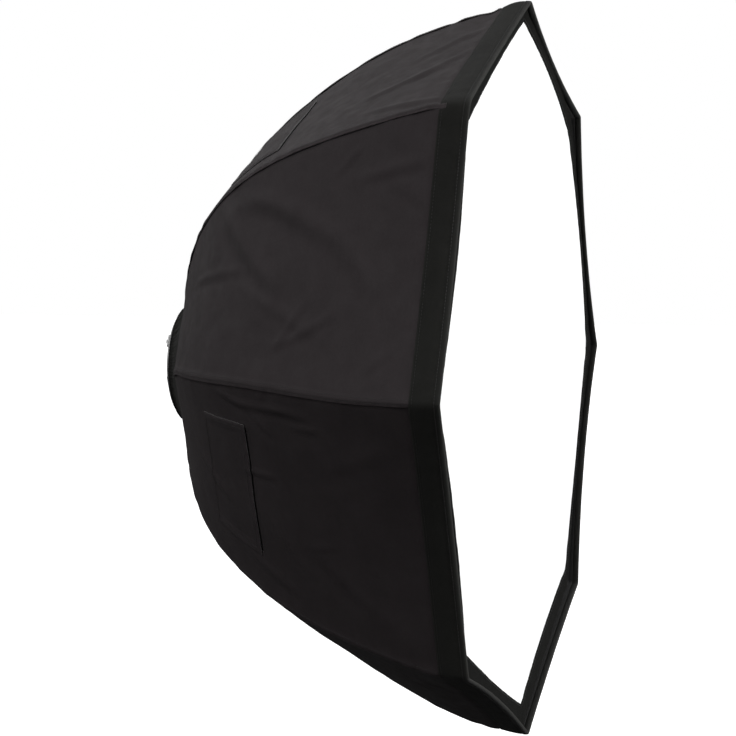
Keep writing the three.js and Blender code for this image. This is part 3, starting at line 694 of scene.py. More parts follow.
def woven(name, light, dark, worn, thread, depth, roughness, **constants):
    """Plain-woven cloth: crossing threads, slow mottling, fine fuzz, and lighter worn folds."""
    n = material_nodes(name)
    place = n.place(True)
    parts = n.put("ShaderNodeSeparateXYZ", Vector=place)
    waves = [n.math("SINE", n.math("MULTIPLY", parts.outputs[i], math.pi / thread)) for i in (0, 1)]
    crossing = n.math("MULTIPLY", waves[0], waves[1])
    slub = n.noise(place, 900.0, 2.0)
    weave = n.math("ADD", crossing, n.math("MULTIPLY", slub, 0.8))
    slow = n.noise(place, 20.0, 4.0)
    colour = n.blend(n.span(slow, 0.3, 0.7, 0.0, 1.0), dark, light)
    colour = n.blend(n.math("MULTIPLY", n.noise(place, 260.0, 4.0), 0.22), colour, worn)
    wear = n.tree.nodes.new("ShaderNodeAttribute")
    wear.attribute_name = "wear"
    scuff = n.math("MULTIPLY", wear.outputs["Fac"], n.span(n.noise(place, 120.0), 0.35, 0.75, 0.15, 1.0))
    colour = n.blend(n.math("MULTIPLY", scuff, 0.6), colour, worn)
    gloss = n.span(n.noise(place, 45.0), 0.3, 0.7, roughness - 0.07, roughness + 0.07)
    soft = n.bump(n.noise(place, 70.0, 5.0), 0.25, 0.4 * MM)
    return n.finish(colour, gloss, n.bump(weave, depth, 0.12 * MM, soft), **constants)


def ribbed(name, light, dark, pitch, roughness, axis=0, cloth_map=True, **constants):
    """Webbing or tape: ribs across its length, with a fine cross thread."""
    n = material_nodes(name)
    place = n.place(cloth_map)
    parts = n.put("ShaderNodeSeparateXYZ", Vector=place)
    rib = n.math("SINE", n.math("MULTIPLY", parts.outputs[axis], 2 * math.pi / pitch))
    thread = n.math("SINE", n.math("MULTIPLY", parts.outputs[1 - axis], 2 * math.pi / (0.6 * pitch)))
    height = n.math("ADD", rib, n.math("MULTIPLY", thread, 0.4))
    colour = n.blend(n.span(n.math("ADD", height, n.noise(place, 300.0)), -1.0, 1.8, 0.0, 1.0), dark, light)
    normal = n.bump(height, 0.5, 0.15 * MM, n.bump(n.noise(place, 500.0), 0.3, 0.2 * MM))
    return n.finish(colour, roughness, normal, **constants)


def pile(name, light, dark, size, depth, **constants):
    """Hook or loop tape: a dense field of small tufts."""
    n = material_nodes(name)
    place = n.place(False)
    tufts = n.put("ShaderNodeTexVoronoi", Vector=place, Scale=1 / size).outputs["Distance"]
    height = n.math("ADD", tufts, n.math("MULTIPLY", n.noise(place, 1.7 / size, 4.0), 0.7))
    colour = n.blend(n.span(height, 0.3, 1.1, 0.0, 1.0), light, dark)
    return n.finish(colour, 0.95, n.bump(height, 0.8, depth), **constants)


def metal(name, light, dark, roughness, grain, depth):
    """Metal with a slight grain, handling marks and uneven gloss."""
    n = material_nodes(name)
    place = n.place(False)
    marks = n.noise(place, grain * 0.12, 5.0, 0.65)
    colour = n.blend(n.span(marks, 0.35, 0.7, 0.0, 1.0), light, dark)
    fine = n.noise(place, grain, 3.0)
    gloss = n.span(n.noise(place, grain * 0.3), 0.3, 0.7, roughness - 0.08, roughness + 0.1)
    return n.finish(colour, gloss, n.bump(fine, 0.35, depth), Metallic=1.0)


def moulded(name, light, dark, roughness):
    """Moulded plastic with a spark-eroded grain."""
    n = material_nodes(name)
    place = n.place(False)
    colour = n.blend(n.noise(place, 60.0), dark, light)
    grain = n.noise(place, 1800.0, 2.0)
    gloss = n.span(n.noise(place, 150.0), 0.3, 0.7, roughness - 0.08, roughness + 0.08)
    return n.finish(colour, gloss, n.bump(grain, 0.3, 0.1 * MM))


def glowing(name):
    """White that gives off light of its own, for the floor."""
    n = material_nodes(name)
    n.shader.inputs["Emission Color"].default_value = grey(1)
    return n.finish(grey(0.9), 0.9, Emission_Strength=FLOOR_GLOW)


def make_materials():
    plum = (1.13, 0.94, 1.0)
    olive = (1.0, 1.0, 0.9)
    soft = {"Sheen_Weight": 0.03, "Sheen_Roughness": 0.5, "Specular_IOR_Level": 0.15}
    matt = {"Sheen_Weight": 0.05, "Sheen_Roughness": 0.6, "Specular_IOR_Level": 0.15}
    white = {"Sheen_Weight": 0.2, "Sheen_Roughness": 0.5, "Specular_IOR_Level": 0.3}
    return {
        "shell": woven("shell_nylon", grey(0.036, plum), grey(0.029, plum), grey(0.075, plum),
                       0.55 * MM, 0.5, 0.66, **soft),
        "silver": woven("silver_lining", grey(0.62), grey(0.5), grey(0.75), 0.7 * MM, 0.4, 0.36,
                        Metallic=0.85),
        "lip": woven("lip_cloth", grey(0.0155, olive), grey(0.0125, olive), grey(0.038, olive),
                     0.6 * MM, 0.6, 0.85, **matt),
        # Painted shade: the diffuser's border is the lip's black cloth made about a third as bright and
        # without sheen, so that it stays dark under the front light.
        "border": woven("shaded_border_cloth", grey(0.0045, olive), grey(0.0035, olive), grey(0.012, olive),
                        0.6 * MM, 0.6, 0.9, Sheen_Weight=0.02, Specular_IOR_Level=0.05),
        "binding": ribbed("binding_tape", grey(0.022, olive), grey(0.012, olive), 1.0 * MM, 0.8, **matt),
        "elastic": ribbed("elastic", grey(0.02), grey(0.012), 1.4 * MM, 0.8, axis=1, cloth_map=False, **matt),
        "webbing": ribbed("webbing", grey(0.022), grey(0.012), 1.5 * MM, 0.75, cloth_map=False, **matt),
        "diffuser": woven("diffuser_nylon", grey(0.94), grey(0.92), grey(0.96), 0.35 * MM, 0.3, 0.6, **white),
        "thread": ribbed("thread", grey(0.045), grey(0.02), 0.4 * MM, 0.55, cloth_map=False),
        "loop": pile("loop_pile", grey(0.02), grey(0.008), 0.9 * MM, 0.5 * MM, **matt),
        "hook": pile("hook_pile", grey(0.03), grey(0.01), 1.1 * MM, 0.5 * MM),
        "alloy": metal("cast_alloy", grey(0.5), grey(0.36), 0.42, 900.0, 0.08 * MM),
        "rod": metal("sprung_steel", grey(0.55), grey(0.4), 0.32, 1400.0, 0.03 * MM),
        "screw": metal("zinc_steel", grey(0.66), grey(0.5), 0.26, 1500.0, 0.03 * MM),
        "plastic": moulded("black_plastic", grey(0.022), grey(0.014), 0.45),
        "floor": glowing("pale_floor"),
    }


MATERIALS = make_materials()


# ---------------------------------------------------------------- shell
def even(start, end, step):
    """Points from start to end about a step apart, without the end."""
    return np.linspace(start, end, max(int(abs(end - start) / step), 1), endpoint=False)


ARC_REAR = arc_at_radius(SHELL_REAR_RADIUS)
ARC_FLAP_REAR, ARC_FLAP_FRONT = float(arc_behind(FLAP_REAR)), float(arc_behind(FLAP_FRONT))
ARC_FLAP_EDGE = ARC_FLAP_FRONT - FLAP_OPEN
ARC_GORE_END = float(arc_behind(GORE_FRONT))
GORE_ARCS = np.concatenate([
    even(ARC_REAR, ARC_FLAP_REAR, GORE_CELL),
    even(ARC_FLAP_REAR, ARC_FLAP_FRONT, GORE_CELL),
    even(ARC_FLAP_FRONT, ARC_GORE_END, GORE_CELL),
    [ARC_GORE_END],
])


def gore_columns(length):
    """Distances from corner k of all columns where the side has a length."""
    first, last = START_COLUMNS[-1], length - END_COLUMNS[0]
    middle = first + (last - first) * (np.arange(MIDDLE_COLUMNS) + 1) / (MIDDLE_COLUMNS + 1)
    return np.concatenate([START_COLUMNS, middle, length - END_COLUMNS])


def window_columns(k, length):
    """Column numbers at the two side edges of the window in gore k."""
    s = gore_columns(length)
    return [int(np.argmin(np.abs(s - share * length))) for share in FLAP_GORES[k]]


def make_gore(k):
    arcs = GORE_ARCS[:, None]
    s = np.stack([gore_columns(length) for length in side_length(GORE_ARCS)])
    relief = gore_relief(k, s, arcs + 0 * s)
    folded = 1 - smooth((s - 2 * MM) / (4 * MM))
    edge = s < START_COLUMNS[1] - 0.1 * MM
    top = relief - np.where(edge, 0.4 * MM, 0)
    bottom = relief - CLOTH - 0.6 * MM * folded + np.where(edge, 0.3 * MM, 0)
    wear = hump(s + 4 * MM, 3 * MM)
    hole = None
    if k in FLAP_GORES:
        hole = np.zeros((len(GORE_ARCS) - 1, s.shape[1] - 1), bool)
        rows = (GORE_ARCS[:-1] > ARC_FLAP_REAR - 1e-6) & (GORE_ARCS[:-1] < ARC_FLAP_FRONT - 1e-6)
        low, high = window_columns(k, side_length(ARC_FLAP_REAR))
        hole[np.ix_(rows, np.arange(low, high))] = True
    turn = k + s / side_length(arcs)
    piece = shell_sheet(f"gore_cloth_{k + 1}", arcs, turn, top, bottom, s, "shell silver", hole, wear)
    return belongs(piece, "ring", "shell_fabric", f"shell_gore_{k + 1}")


def seam_stitches(k):
    """Two runs of stitching on the folded seam at corner k."""
    arcs = np.arange(ARC_REAR + 6 * MM, arc_behind(LIP_DEPTH), 2 * MM)
    shapes = []
    for s in (-FOLD_STITCH, 4.5 * MM):
        shapes.append(shell_stitches(arcs, k + s / side_length(arcs), gore_relief(k, s + 0 * arcs, arcs)))
    return make_part(f"seam_stitching_{k + 1}", combined(*shapes), "thread", "ring", "shell_fabric")


# ---------------------------------------------------------------- access flaps
def flap_place(k, arc, across):
    """Distance along the side, turn and relief of a place on a flap: across runs from 0 to 1 between its side
    edges."""
    length = side_length(arc)
    low, high = FLAP_GORES[k][0] * length - FLAP_OVERLAP, FLAP_GORES[k][1] * length + FLAP_OVERLAP
    s = low + (high - low) * across
    return s, k + s / length, gore_relief(k, s, arc + 0 * s)


def flap_width(k, arc):
    return side_length(arc) * (FLAP_GORES[k][1] - FLAP_GORES[k][0]) + 2 * FLAP_OVERLAP


def flap_lift(k, s, arc):
    """How far a flap stands off its gore, more towards its free edge."""
    free = smooth((arc - ARC_FLAP_REAR) / (ARC_FLAP_EDGE - ARC_FLAP_REAR))
    return 0.9 * MM * free * (0.6 + 0.4 * value_noise(s / 0.05, 0 * s, 500 + k))


def flap_panel(i, k):
    arcs = np.linspace(ARC_FLAP_REAR - FLAP_ROOT, ARC_FLAP_EDGE, 26)[:, None]
    edge = np.array([0, 0.002, 0.006, 0.015, 0.03])
    across = np.concatenate([edge, np.linspace(0.04, 0.96, 60), 1 - edge[::-1]])
    s, turn, relief = flap_place(k, arcs, across)
    from_side = np.minimum(across, 1 - across) * flap_width(k, arcs)
    from_front = ARC_FLAP_EDGE - arcs + 0 * s
    hem = 1 - smooth((np.minimum(from_side, from_front) - HEM) / (2 * MM))
    lift = flap_lift(k, s, arcs)
    ripple = 0.25 * MM * fractal(s, arcs + 0 * s, 0.03, 510 + k)
    top = relief + 0.95 * MM + 0.5 * MM * hem + lift + ripple * smooth(from_side / HEM)
    rim = (from_side < 0.4 * MM) | (from_front < 0.1 * MM)
    top = top - np.where(rim, 0.35 * MM, 0)
    wear = hump(np.minimum(from_side, from_front), 3 * MM)
    bottom = relief + 0.35 * MM + lift * 0.8
    return shell_sheet(f"flap_cloth_{i}", arcs, turn, top, bottom, s, "shell silver", wear=wear)


def flap_stitches(i, k):
    """Stitching along the hems of a flap's three free sides."""
    front = ARC_FLAP_EDGE - (HEM - 2 * MM)
    along = np.linspace(ARC_FLAP_REAR + 2 * MM, front, 30)
    low, high = 0.035, 0.965
    shapes = []
    for line in ((along, low), (front, np.linspace(low, high, 80)), (along[::-1], high)):
        arc, across = np.broadcast_arrays(*line)
        s, turn, relief = flap_place(k, arc, across)
        shapes.append(shell_stitches(arc, turn, relief + 1.45 * MM + flap_lift(k, s, arc)))
    return make_piece(f"flap_stitching_{i}", combined(*shapes), "thread")


def flap_strip(i, k, kind):
    (start, end), (top, bottom), inset, material = FLAP_STRIPS[kind]
    arcs = ARC_FLAP_EDGE - np.linspace(start, end, 7)[:, None] * MM
    s, turn, relief = flap_place(k, arcs, np.linspace(inset, 1 - inset, 60))
    return shell_sheet(f"flap_{kind}_{i}", arcs, turn, relief + top * MM, relief + bottom * MM, s, material)


def window_stitches(k):
    """Stitching that holds a flap's rear edge, and the hem in front of the window."""
    arc = ARC_FLAP_REAR - 4 * MM
    turn, relief = flap_place(k, arc, np.linspace(0.02, 0.98, 90))[1:]
    shapes = [shell_stitches(arc, turn, relief + 1.5 * MM)]
    arc = ARC_FLAP_FRONT + 4 * MM
    share = np.linspace(*FLAP_GORES[k], 90)
    relief = gore_relief(k, share * side_length(arc), arc + 0 * share)
    shapes.append(shell_stitches(arc, k + share, relief))
    return make_piece(f"window_stitching_{k + 1}", combined(*shapes), "thread")


def make_flap(i, k):
    body = f"flap_{i}"
    panel, thread = flap_panel(i, k), flap_stitches(i, k)
    start, end = (shell_offset(ARC_FLAP_REAR + past, k + 0.5, 0.0) for past in (0, FLAP_BEND))
    for piece in (panel, thread):
        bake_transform(piece)
    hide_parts(f"access_flap_{i}")
    tape = belongs(flap_strip(i, k, "hook_strip"), body, "webbing", f"flap_tape_{i}")
    placket = belongs(flap_strip(i, k, "placket"), "ring", "shell_fabric")
    loop = belongs(flap_strip(i, k, "loop_strip"), "ring", "webbing")
    seam = belongs(window_stitches(k), "ring", "shell_fabric")
    return panel, [thread, tape], [placket, loop, seam]


# ---------------------------------------------------------------- lip, binding and tapes
def band(name, section, material, ripple=0.0, seed=0):
    """A closed band round the lip. section is its closed outline, as distance behind the rim and depth
    inside the outer surface, in millimetres."""
    section = np.array(section) * MM
    behind = section[:, :1]
    arcs = arc_behind(behind)
    around = AROUND_TURNS * RIM_SIDE
    wave = ripple * fractal(around[None, :], arcs, 0.03, seed)
    wave += ripple * 1.5 * value_noise(around / 0.014, 0 * around, seed + 7)
    shape = lofted(shell_offset(arcs, AROUND_TURNS, wave - section[:, 1:], LIP_FILLET), closed=True)
    uvs = paired(around, travelled(section)[:, None]).reshape(-1, 2)
    wear = np.repeat(0.8 * hump(behind, 13 * MM) + hump(behind - LIP_DEPTH, MM), AROUND)
    return make_piece(name, shape, material, None, uvs, wear, SIDES * RIM_SIDE)


def lip_stitches(name, behind, height):
    turn = np.linspace(0, SIDES, AROUND + 1)
    return make_part(name, shell_stitches(arc_behind(behind), turn, height, LIP_FILLET), "thread",
                     "ring", "lip_fabric")


def make_lip():
    outline = [(37, 0.15), (36.6, -0.15), (35, -0.2), (33.4, 0.0), (31, -0.15), (27, -0.2), (22, -0.2)]
    outline += [(16, -0.15), (11, 0.0), (8.6, 0.25), (6, 0.5), (3, 0.7), (2, 1.5), (2.6, 2.5), (6, 2.6)]
    outline += [(12, 2.6), (18, 2.6), (24, 2.6), (26, 2.3), (27, 0.95), (31, 0.9), (36.4, 0.9)]
    lip = belongs(band("lip_cloth", outline, "lip", 0.16 * MM, 600), "ring", "lip_fabric", "front_lip")
    outline = [(8.2, 0.2), (7.8, -0.25), (5.5, -0.45), (3, -0.35), (1.2, 0.0), (0.35, 0.7), (0, 1.6)]
    outline += [(0.35, 2.6), (1.2, 3.2), (3, 3.4), (5.5, 3.4), (7.6, 3.3), (8, 2.95), (7.6, 2.7)]
    outline += [(5.5, 2.7), (1.9, 2.7), (1.3, 1.6), (1.9, 0.55), (5.5, 0.35), (7.8, 0.35)]
    binding = band("rim_binding", outline, "binding", 0.1 * MM, 620)
    belongs(binding, "ring", "lip_fabric", "lip_binding")
    loop = band("loop_tape_pile", softened([(9, 3.5), (26, 3.5), (26, 4.5), (9, 4.5)], 0.4), "loop")
    belongs(loop, "ring", "webbing", "loop_tape")
    rear = lip_stitches("lip_stitching_rear", 33.4 * MM, 0.0)
    front = lip_stitches("lip_stitching_binding", 7.0 * MM, 0.4 * MM)
    return lip, [binding, loop, rear, front]


# ---------------------------------------------------------------- front diffuser
def diffuser_edge(turn):
    """Corner-rounded outer edge of the diffuser: x and z, and y, at each turn."""
    arc = arc_behind(DIFFUSER_RECESS)
    points = shell_offset(arc, turn, -LIP_INSIDE - 0 * turn, LIP_FILLET)
    u, side, bow = along_side(turn)
    corners = RECESS_CORNER[side] * (1 - u) + RECESS_CORNER[(side + 1) % SIDES] * u
    points[..., 1] = RIM_Y + corners + (RECESS_MIDDLE[side] - DIFFUSER_RECESS) * bow
    return points


def diffuser_points(turn, share):
    """Points of the diffuser at a share of the way from its centre to its edge."""
    edge = diffuser_edge(turn)
    points = edge * share[..., None]
    flat = RIM_Y + 10 * MM
    points[..., 1] = flat + (edge[..., 1] - flat) * share**2
    u = turn - np.floor(turn)
    to_corner = np.minimum(u, 1 - u)
    pull = np.cos(to_corner * 60) * np.exp(-to_corner * 9) * smooth((share - 0.55) / 0.4)
    x, z = points[..., 0] + 1, points[..., 2] + 1
    points[..., 1] += 0.5 * MM * pull + 0.7 * MM * fractal(x, z, 0.2, 700) * smooth((1 - share) / 0.1)
    return points


def window_share(turn):
    """Share of the way to the diffuser's edge at which its white octagon ends. The sides bow out slightly."""
    u, side, bow = along_side(turn)
    start = polar(WINDOW_CORNER[side], side * STEP_ANGLE)
    end = polar(WINDOW_CORNER[(side + 1) % SIDES], (side + 1) * STEP_ANGLE)
    reach = np.linalg.norm(start + (end - start) * u[..., None], axis=-1) + WINDOW_BOW[side] * bow
    edge = diffuser_edge(turn)
    return reach / np.hypot(edge[..., 0], edge[..., 2])


def make_diffuser():
    share = np.concatenate([[0.012], np.linspace(0.03, 0.96, 70), [0.975, 0.99, 1.0]])[:, None]
    back = diffuser_points(*np.broadcast_arrays(AROUND_TURNS, share))
    sheet = disc_sheet("diffuser_cloth", back - np.array([0, 0.5 * MM, 0]), back, "diffuser",
                       "diffuser_fabric", "front_diffuser")
    across = np.linspace(0, 1, 12)[:, None]
    start = window_share(AROUND_TURNS)
    share = start + (1.0 - start) * across
    turn = AROUND_TURNS + 0 * share
    under = diffuser_points(turn, share) - np.array([0, 0.9 * MM, 0])
    around = turn * RIM_SIDE
    pucker = 0.3 * MM * (1 + value_noise(around / 0.012, across * 2, 720))
    edge = np.where((across < 0.01) | (across > 0.99), 0.3 * MM, 0)
    over = under - np.stack([0 * share, 0.6 * MM + pucker - edge, 0 * share], -1)
    # The border's cloth is a darker copy of the lip's cloth: painted shade.
    border = thick_sheet("diffuser_border_cloth", over, under, paired(around, share * RIM_RADIUS), "border",
                         wrap=True, period=SIDES * RIM_SIDE)
    belongs(border, "diffuser", "lip_fabric", "diffuser_border")
    line = np.linspace(0, SIDES, AROUND + 1)
    points = diffuser_points(line, window_share(line) * 1.006 + 1.5 * MM) - np.array([0, 2.0 * MM, 0])
    thread = make_part("diffuser_stitching", stitch_run(points, points * 0 + [0, -1, 0]), "thread",
                       "diffuser", "lip_fabric")
    hook = band("hook_tape_pile", softened([(14.5, 4.8), (26, 4.8), (26, 6.0), (14.5, 6.0)], 0.4), "hook")
    belongs(hook, "diffuser", "webbing", "hook_tape")
    return sheet, border, [thread, hook]


# ---------------------------------------------------------------- rods
def rod_line(k):
    """Centre line of rod k from its root in the socket, and the slope of that root's y over its radius."""
    here = bezier(MERIDIAN, np.linspace(0, 1, 241))
    ahead = unit(np.gradient(here, axis=0))
    radius = here[:, 1] + ROD_INSET * ahead[:, 0] + swell(k, here[:, 0])
    y = RIM_Y + here[:, 0] - ROD_INSET * ahead[:, 1]
    keep = y > RIM_Y + ROD_END_BEHIND
    radius, y = radius[keep], y[keep]
    slope = (y[1] - y[0]) / (radius[1] - radius[0])
    root = ROD_ROOT_RADIUS + 1 * MM
    y = np.concatenate([[y[0] + (root - radius[0]) * slope], y])
    return polar(np.concatenate([[root], radius]), k * STEP_ANGLE, y), slope


def make_rod(k):
    """Rod k, the cap on its front end and the pocket that holds the cap."""
    path = rod_line(k)[0]
    make_part(f"sprung_rod_{k + 1}", tube(path, ROD_RADIUS), "rod", "ring", "rod_steel", f"rod_{k + 1}")
    forward, e1, e2 = axes_round(path[-1] - path[-2])
    outline = [(3.3, 0.0), (4.2, 0.0), (4.4, 1.2), (4.0, 2.0), (4.4, 2.8), (4.4, 14.5), (3.4, 15.7)]
    outline += [(0.05, 16.0), (0.05, 12.6), (3.3, 12.4)]
    make_part(f"rod_tip_{k + 1}", lathed(outline, 0.4, path[-1] - forward * 12 * MM, forward, 28), "plastic",
              "ring", "black_plastic", f"rod_cap_{k + 1}")
    profile = [(5.0, 0), (5.6, 0), (5.9, 0.5), (5.5, 2.5), (5.6, 8), (5.5, 16), (4.6, 20), (2.0, 21.5)]
    profile += [(0.3, 21.8), (0.3, 21.0), (2.0, 20.6), (4.0, 19), (4.9, 15.5), (5.0, 8)]
    angle = full_turn(32)
    around = circle(angle, e1, e2) * (1 + 0.03 * np.cos(angle * 2))[:, None]
    start = path[-1] - forward * 6 * MM
    rings = [start + forward * along + around * radius for radius, along in np.array(profile) * MM]
    make_part(f"tip_pocket_{k + 1}", lofted(rings, closed=True), "webbing", "ring", "webbing")


def make_socket(k):
    """The tube, screwed into the ring, that holds the root of a rod."""
    path, slope = rod_line(k)
    start = polar(ROD_ROOT_RADIUS, k * STEP_ANGLE, path[0][1] - 1 * MM * slope)
    end = polar(SOCKET_END, k * STEP_ANGLE, start[1] + (SOCKET_END - ROD_ROOT_RADIUS) * slope)
    length = np.linalg.norm(end - start) / MM
    outline = [(3.3, 0), (6, 0), (6, length - 4), (5.4, length - 3.4), (5.4, length - 2.6), (6, length - 2)]
    outline += [(6, length), (3.3, length)]
    make_part(f"rod_socket_{k + 1}", lathed(outline, 0.5, start, end - start, 40), "alloy",
              "ring", "cast_alloy")


# ---------------------------------------------------------------- inner baffle
def make_baffle():
    share = np.concatenate([[0.02], np.linspace(0.06, 1, 46)])[:, None]
    turn, share = np.broadcast_arrays(np.arange(BAFFLE_COLUMNS) * SIDES / BAFFLE_COLUMNS, share)
    octagon, u = rounded_corner(turn, 0.02 + 0 * turn)
    reach = BAFFLE_RADIUS * (1 - 0.03 * 4 * u * (1 - u))
    back = octagon * (reach * share)[..., None]
    sway = 3 * MM * (1 - share**2) + 0.8 * MM * fractal(back[..., 0] + 1, back[..., 2] + 1, 0.16, 800)
    back[..., 1] = BAFFLE_Y + 0.3 * MM - sway * smooth((1 - share) / 0.15)
    sheet = disc_sheet("baffle_cloth", back - np.array([0, 0.6 * MM, 0]), back, "ring", "diffuser_fabric",
                       "inner_baffle")
    edge = octagon[-1] * reach[-1][:, None] + [0, BAFFLE_Y, 0]
    section = softened(np.array([(-9, -0.8), (1.2, -0.8), (1.2, 0.8), (-9, 0.8)]) * MM, 0.5 * MM)
    outward = unit(edge * [1, 0, 1])
    rings = np.stack([edge + outward * across + np.array([0, along, 0]) for across, along in section])
    binding = make_part("baffle_binding", lofted(rings, closed=True), "webbing", "ring", "webbing")
    return sheet, binding


def make_strap(k):
    """Webbing from a corner of the baffle, looped round the rod beside it."""
    path = rod_line(k)[0]
    low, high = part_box(f"baffle_strap_{k + 1}")
    y = (low.y + high.y) / 2
    order = np.argsort(path[:, 1])
    rod = np.array([np.interp(y, path[order, 1], path[order, i]) for i in range(3)])
    out, side = polar(1.0, k * STEP_ANGLE), polar(1.0, (k + 2) * STEP_ANGLE)
    start = BAFFLE_RADIUS - 8 * MM
    half = 7.5 * MM
    section = softened([(-half, -0.6 * MM), (half, -0.6 * MM), (half, 0.6 * MM), (-half, 0.6 * MM)], 0.4 * MM)
    rings = []
    for run in np.linspace(0, 1, 14):
        distance = start + (rod @ out - ROD_RADIUS - 1.2 * MM - start) * run
        rise = 1.1 * MM + 1.5 * MM * np.sin(math.pi * run)
        rings.append([out * distance + side * a + np.array([0, y + rise + b, 0]) for a, b in section])
    around = circle(full_turn(36), out, np.array([0, 1.0, 0]))
    corners = ((4.5, -1), (4.5, 1), (3.3, 1), (3.3, -1))
    loop = [rod + around * size * MM + side * across * (half - 0.4 * MM) for size, across in corners]
    shape = combined(lofted(rings), lofted(loop, closed=True))
    return make_part(f"strap_webbing_{k + 1}", shape, "webbing", "ring", "webbing", f"baffle_strap_{k + 1}")


# ---------------------------------------------------------------- rear collar
def make_collar():
    """Gathered cloth on an elastic, which closes the shell round the speed ring."""
    outline = np.array([(100, -26.2), (97, -23.4), (90, -18.5), (83, -13.5), (77.5, -9.5), (75.2, -6.0)]) * MM
    travel = travelled(outline)
    v = np.linspace(0, travel[-1], 34)
    radius, y = np.interp(v, travel, outline[:, 0]), np.interp(v, travel, outline[:, 1])
    turn, v_grid = np.meshgrid(full_turn(720), v)
    gather = smooth(v_grid / (24 * MM))
    wobble = value_noise(turn * 9, v_grid / 0.02, 900) * 1.5
    pleat = np.sin(PLEATS * turn + wobble) * (0.5 + 0.5 * value_noise(turn * 7, 0 * v_grid, 910))
    fine = np.sin(FINE_PLEATS * turn + 2 * wobble)
    from_elastic = travel[-1] - v_grid
    channel = hump(from_elastic - 3.2 * MM, 3 * MM)
    height = 1.2 * MM * pleat * gather * (1 - channel) + 0.3 * MM * fine * gather + 1.3 * MM * channel
    slope = unit(np.gradient(paired(radius, y), v, axis=0))

    def surface(rise):
        return polar(radius[:, None] + slope[:, 1:] * rise, turn, y[:, None] - slope[:, :1] * rise)

    # The lock screw comes through a gap in the cloth and in the elastic.
    hole = np.abs(np.angle(np.exp(1j * (turn - LOCK_ANGLE)))) < math.radians(7.2)
    hole = hole[:-1] & hole[1:]
    outer, inner = surface(height + 0.4 * MM), surface(height - 0.4 * MM)
    piece = thick_sheet("collar_cloth", outer, inner, paired(turn * COLLAR_MAP_RADIUS, v_grid), "lip", hole,
                        wrap=True, period=2 * math.pi * COLLAR_MAP_RADIUS)
    belongs(piece, "ring", "lip_fabric", "rear_collar")
    gap = math.radians(7.6)
    sweep = np.linspace(LOCK_ANGLE + gap, LOCK_ANGLE + 2 * math.pi - gap, 260)
    path = polar(radius[-3] + 0.2 * MM + 0.5 * MM * np.sin(sweep * FINE_PLEATS), sweep, y[-3] + 2.2 * MM)
    elastic = make_part("collar_elastic", tube(path, 1.5 * MM, 14), "elastic", "ring", "lip_fabric")
    return piece, elastic


# ---------------------------------------------------------------- speed ring and lock screw
def make_speed_ring():
    outline = [(58, -38), (70.5, -38), (72, -36.5), (72, -24), (70.6, -23), (70.6, -9), (72, -8), (72, -0.3)]
    outline += [(60.5, -0.3), (60.5, -9.5), (52.5, -9.5), (52.5, -14), (58, -14)]
    make_part("ring_casting", lathed(outline, 0.6, (0, 0, 0), (0, 1, 0), 180), "alloy",
              "ring", "cast_alloy", "speed_ring")
    outline = [(2.8, 70), (5.2, 70), (4.5, 73), (4.5, 78), (2.8, 78)]
    make_part("lock_boss", lathed(outline, 0.5, (0, LOCK_Y, 0), polar(1.0, LOCK_ANGLE), 40), "alloy",
              "ring", "cast_alloy")


def make_insert():
    outline = [(42, -14), (52, -14), (52, -9), (60, -9), (60, 0), (47, 0), (47, 8), (42, 8), (42, 3), (43, 2)]
    outline += [(43, -9), (42, -10)]
    shapes = [lathed(outline, 0.5, (0, 0, 0), (0, 1, 0), 160)]
    section = softened(np.array([(46, 3.5), (53, 3.5), (53, 8), (46, 8)]) * MM, 0.6 * MM)
    for turn in (0, 120, 240):
        sweep = np.radians(np.linspace(turn - 14, turn + 14, 18))
        shapes.append(lofted([polar(section[:, 0], angle, section[:, 1]) for angle in sweep]))
    make_part("bayonet_flange", combined(*shapes), "alloy", "mount", "cast_alloy", "bayonet_insert")


def make_lock():
    outward, e1, e2 = axes_round(polar(1.0, LOCK_ANGLE))
    origin = np.array([0, LOCK_Y, 0])

    def rings(angle, stations, radii):
        """Rings round the lock's axis, each with its own radius at every angle."""
        around = circle(angle, e1, e2)
        return [origin + outward * along + around * radius[:, None] for along, radius in zip(stations, radii)]

    tip, end, pitch = 60.4 * MM, 90 * MM, 0.8 * MM
    angle = full_turn(28)
    stations = np.linspace(tip, end, 150)
    ridge = np.abs((stations[:, None] / pitch + angle / (2 * math.pi)) % 1 - 0.5) * 2
    point = smooth((stations[:, None] - tip) / (1.2 * MM))
    radii = (2.5 * MM - 0.45 * MM * ridge) * (0.65 + 0.35 * point)
    make_part("lock_thread", lofted(rings(angle, stations, radii)), "screw",
              "lock_screw", "screw_steel", "lock_screw", sharp=30)
    angle = full_turn(192)
    plain = 7.6 * MM
    fluted = plain + 0.45 * MM * np.tanh(2.5 * np.cos(16 * angle)) * 0.9
    levels = ((82, 0.2), (82, 0.62), (82.3, 0.9), (83.2, 1), (95, 1), (96.6, 0.94), (97.6, 0.82), (98, 0.6))
    stations, shares = np.array((*levels, (97.4, 0.2))).T
    radii = [(fluted if share > 0.85 else plain + 0 * angle) * share for share in shares]
    make_part("fluted_knob", lofted(rings(angle, stations * MM, radii)), "plastic",
              "lock_knob", "black_plastic", "lock_knob")


def dress_fasteners():
    """The retainers and their screws keep their CAD shapes, with softened edges."""
    for name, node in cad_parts.items():
        if not name.startswith("retainer_"):
            continue
        node.data.materials.clear()
        node.data.materials.append(MATERIALS["screw"])
        bevel = node.modifiers.new("edges", "BEVEL")
        bevel.width = 0.3 * MM
        bevel.segments = 2
        bevel.limit_method = "ANGLE"


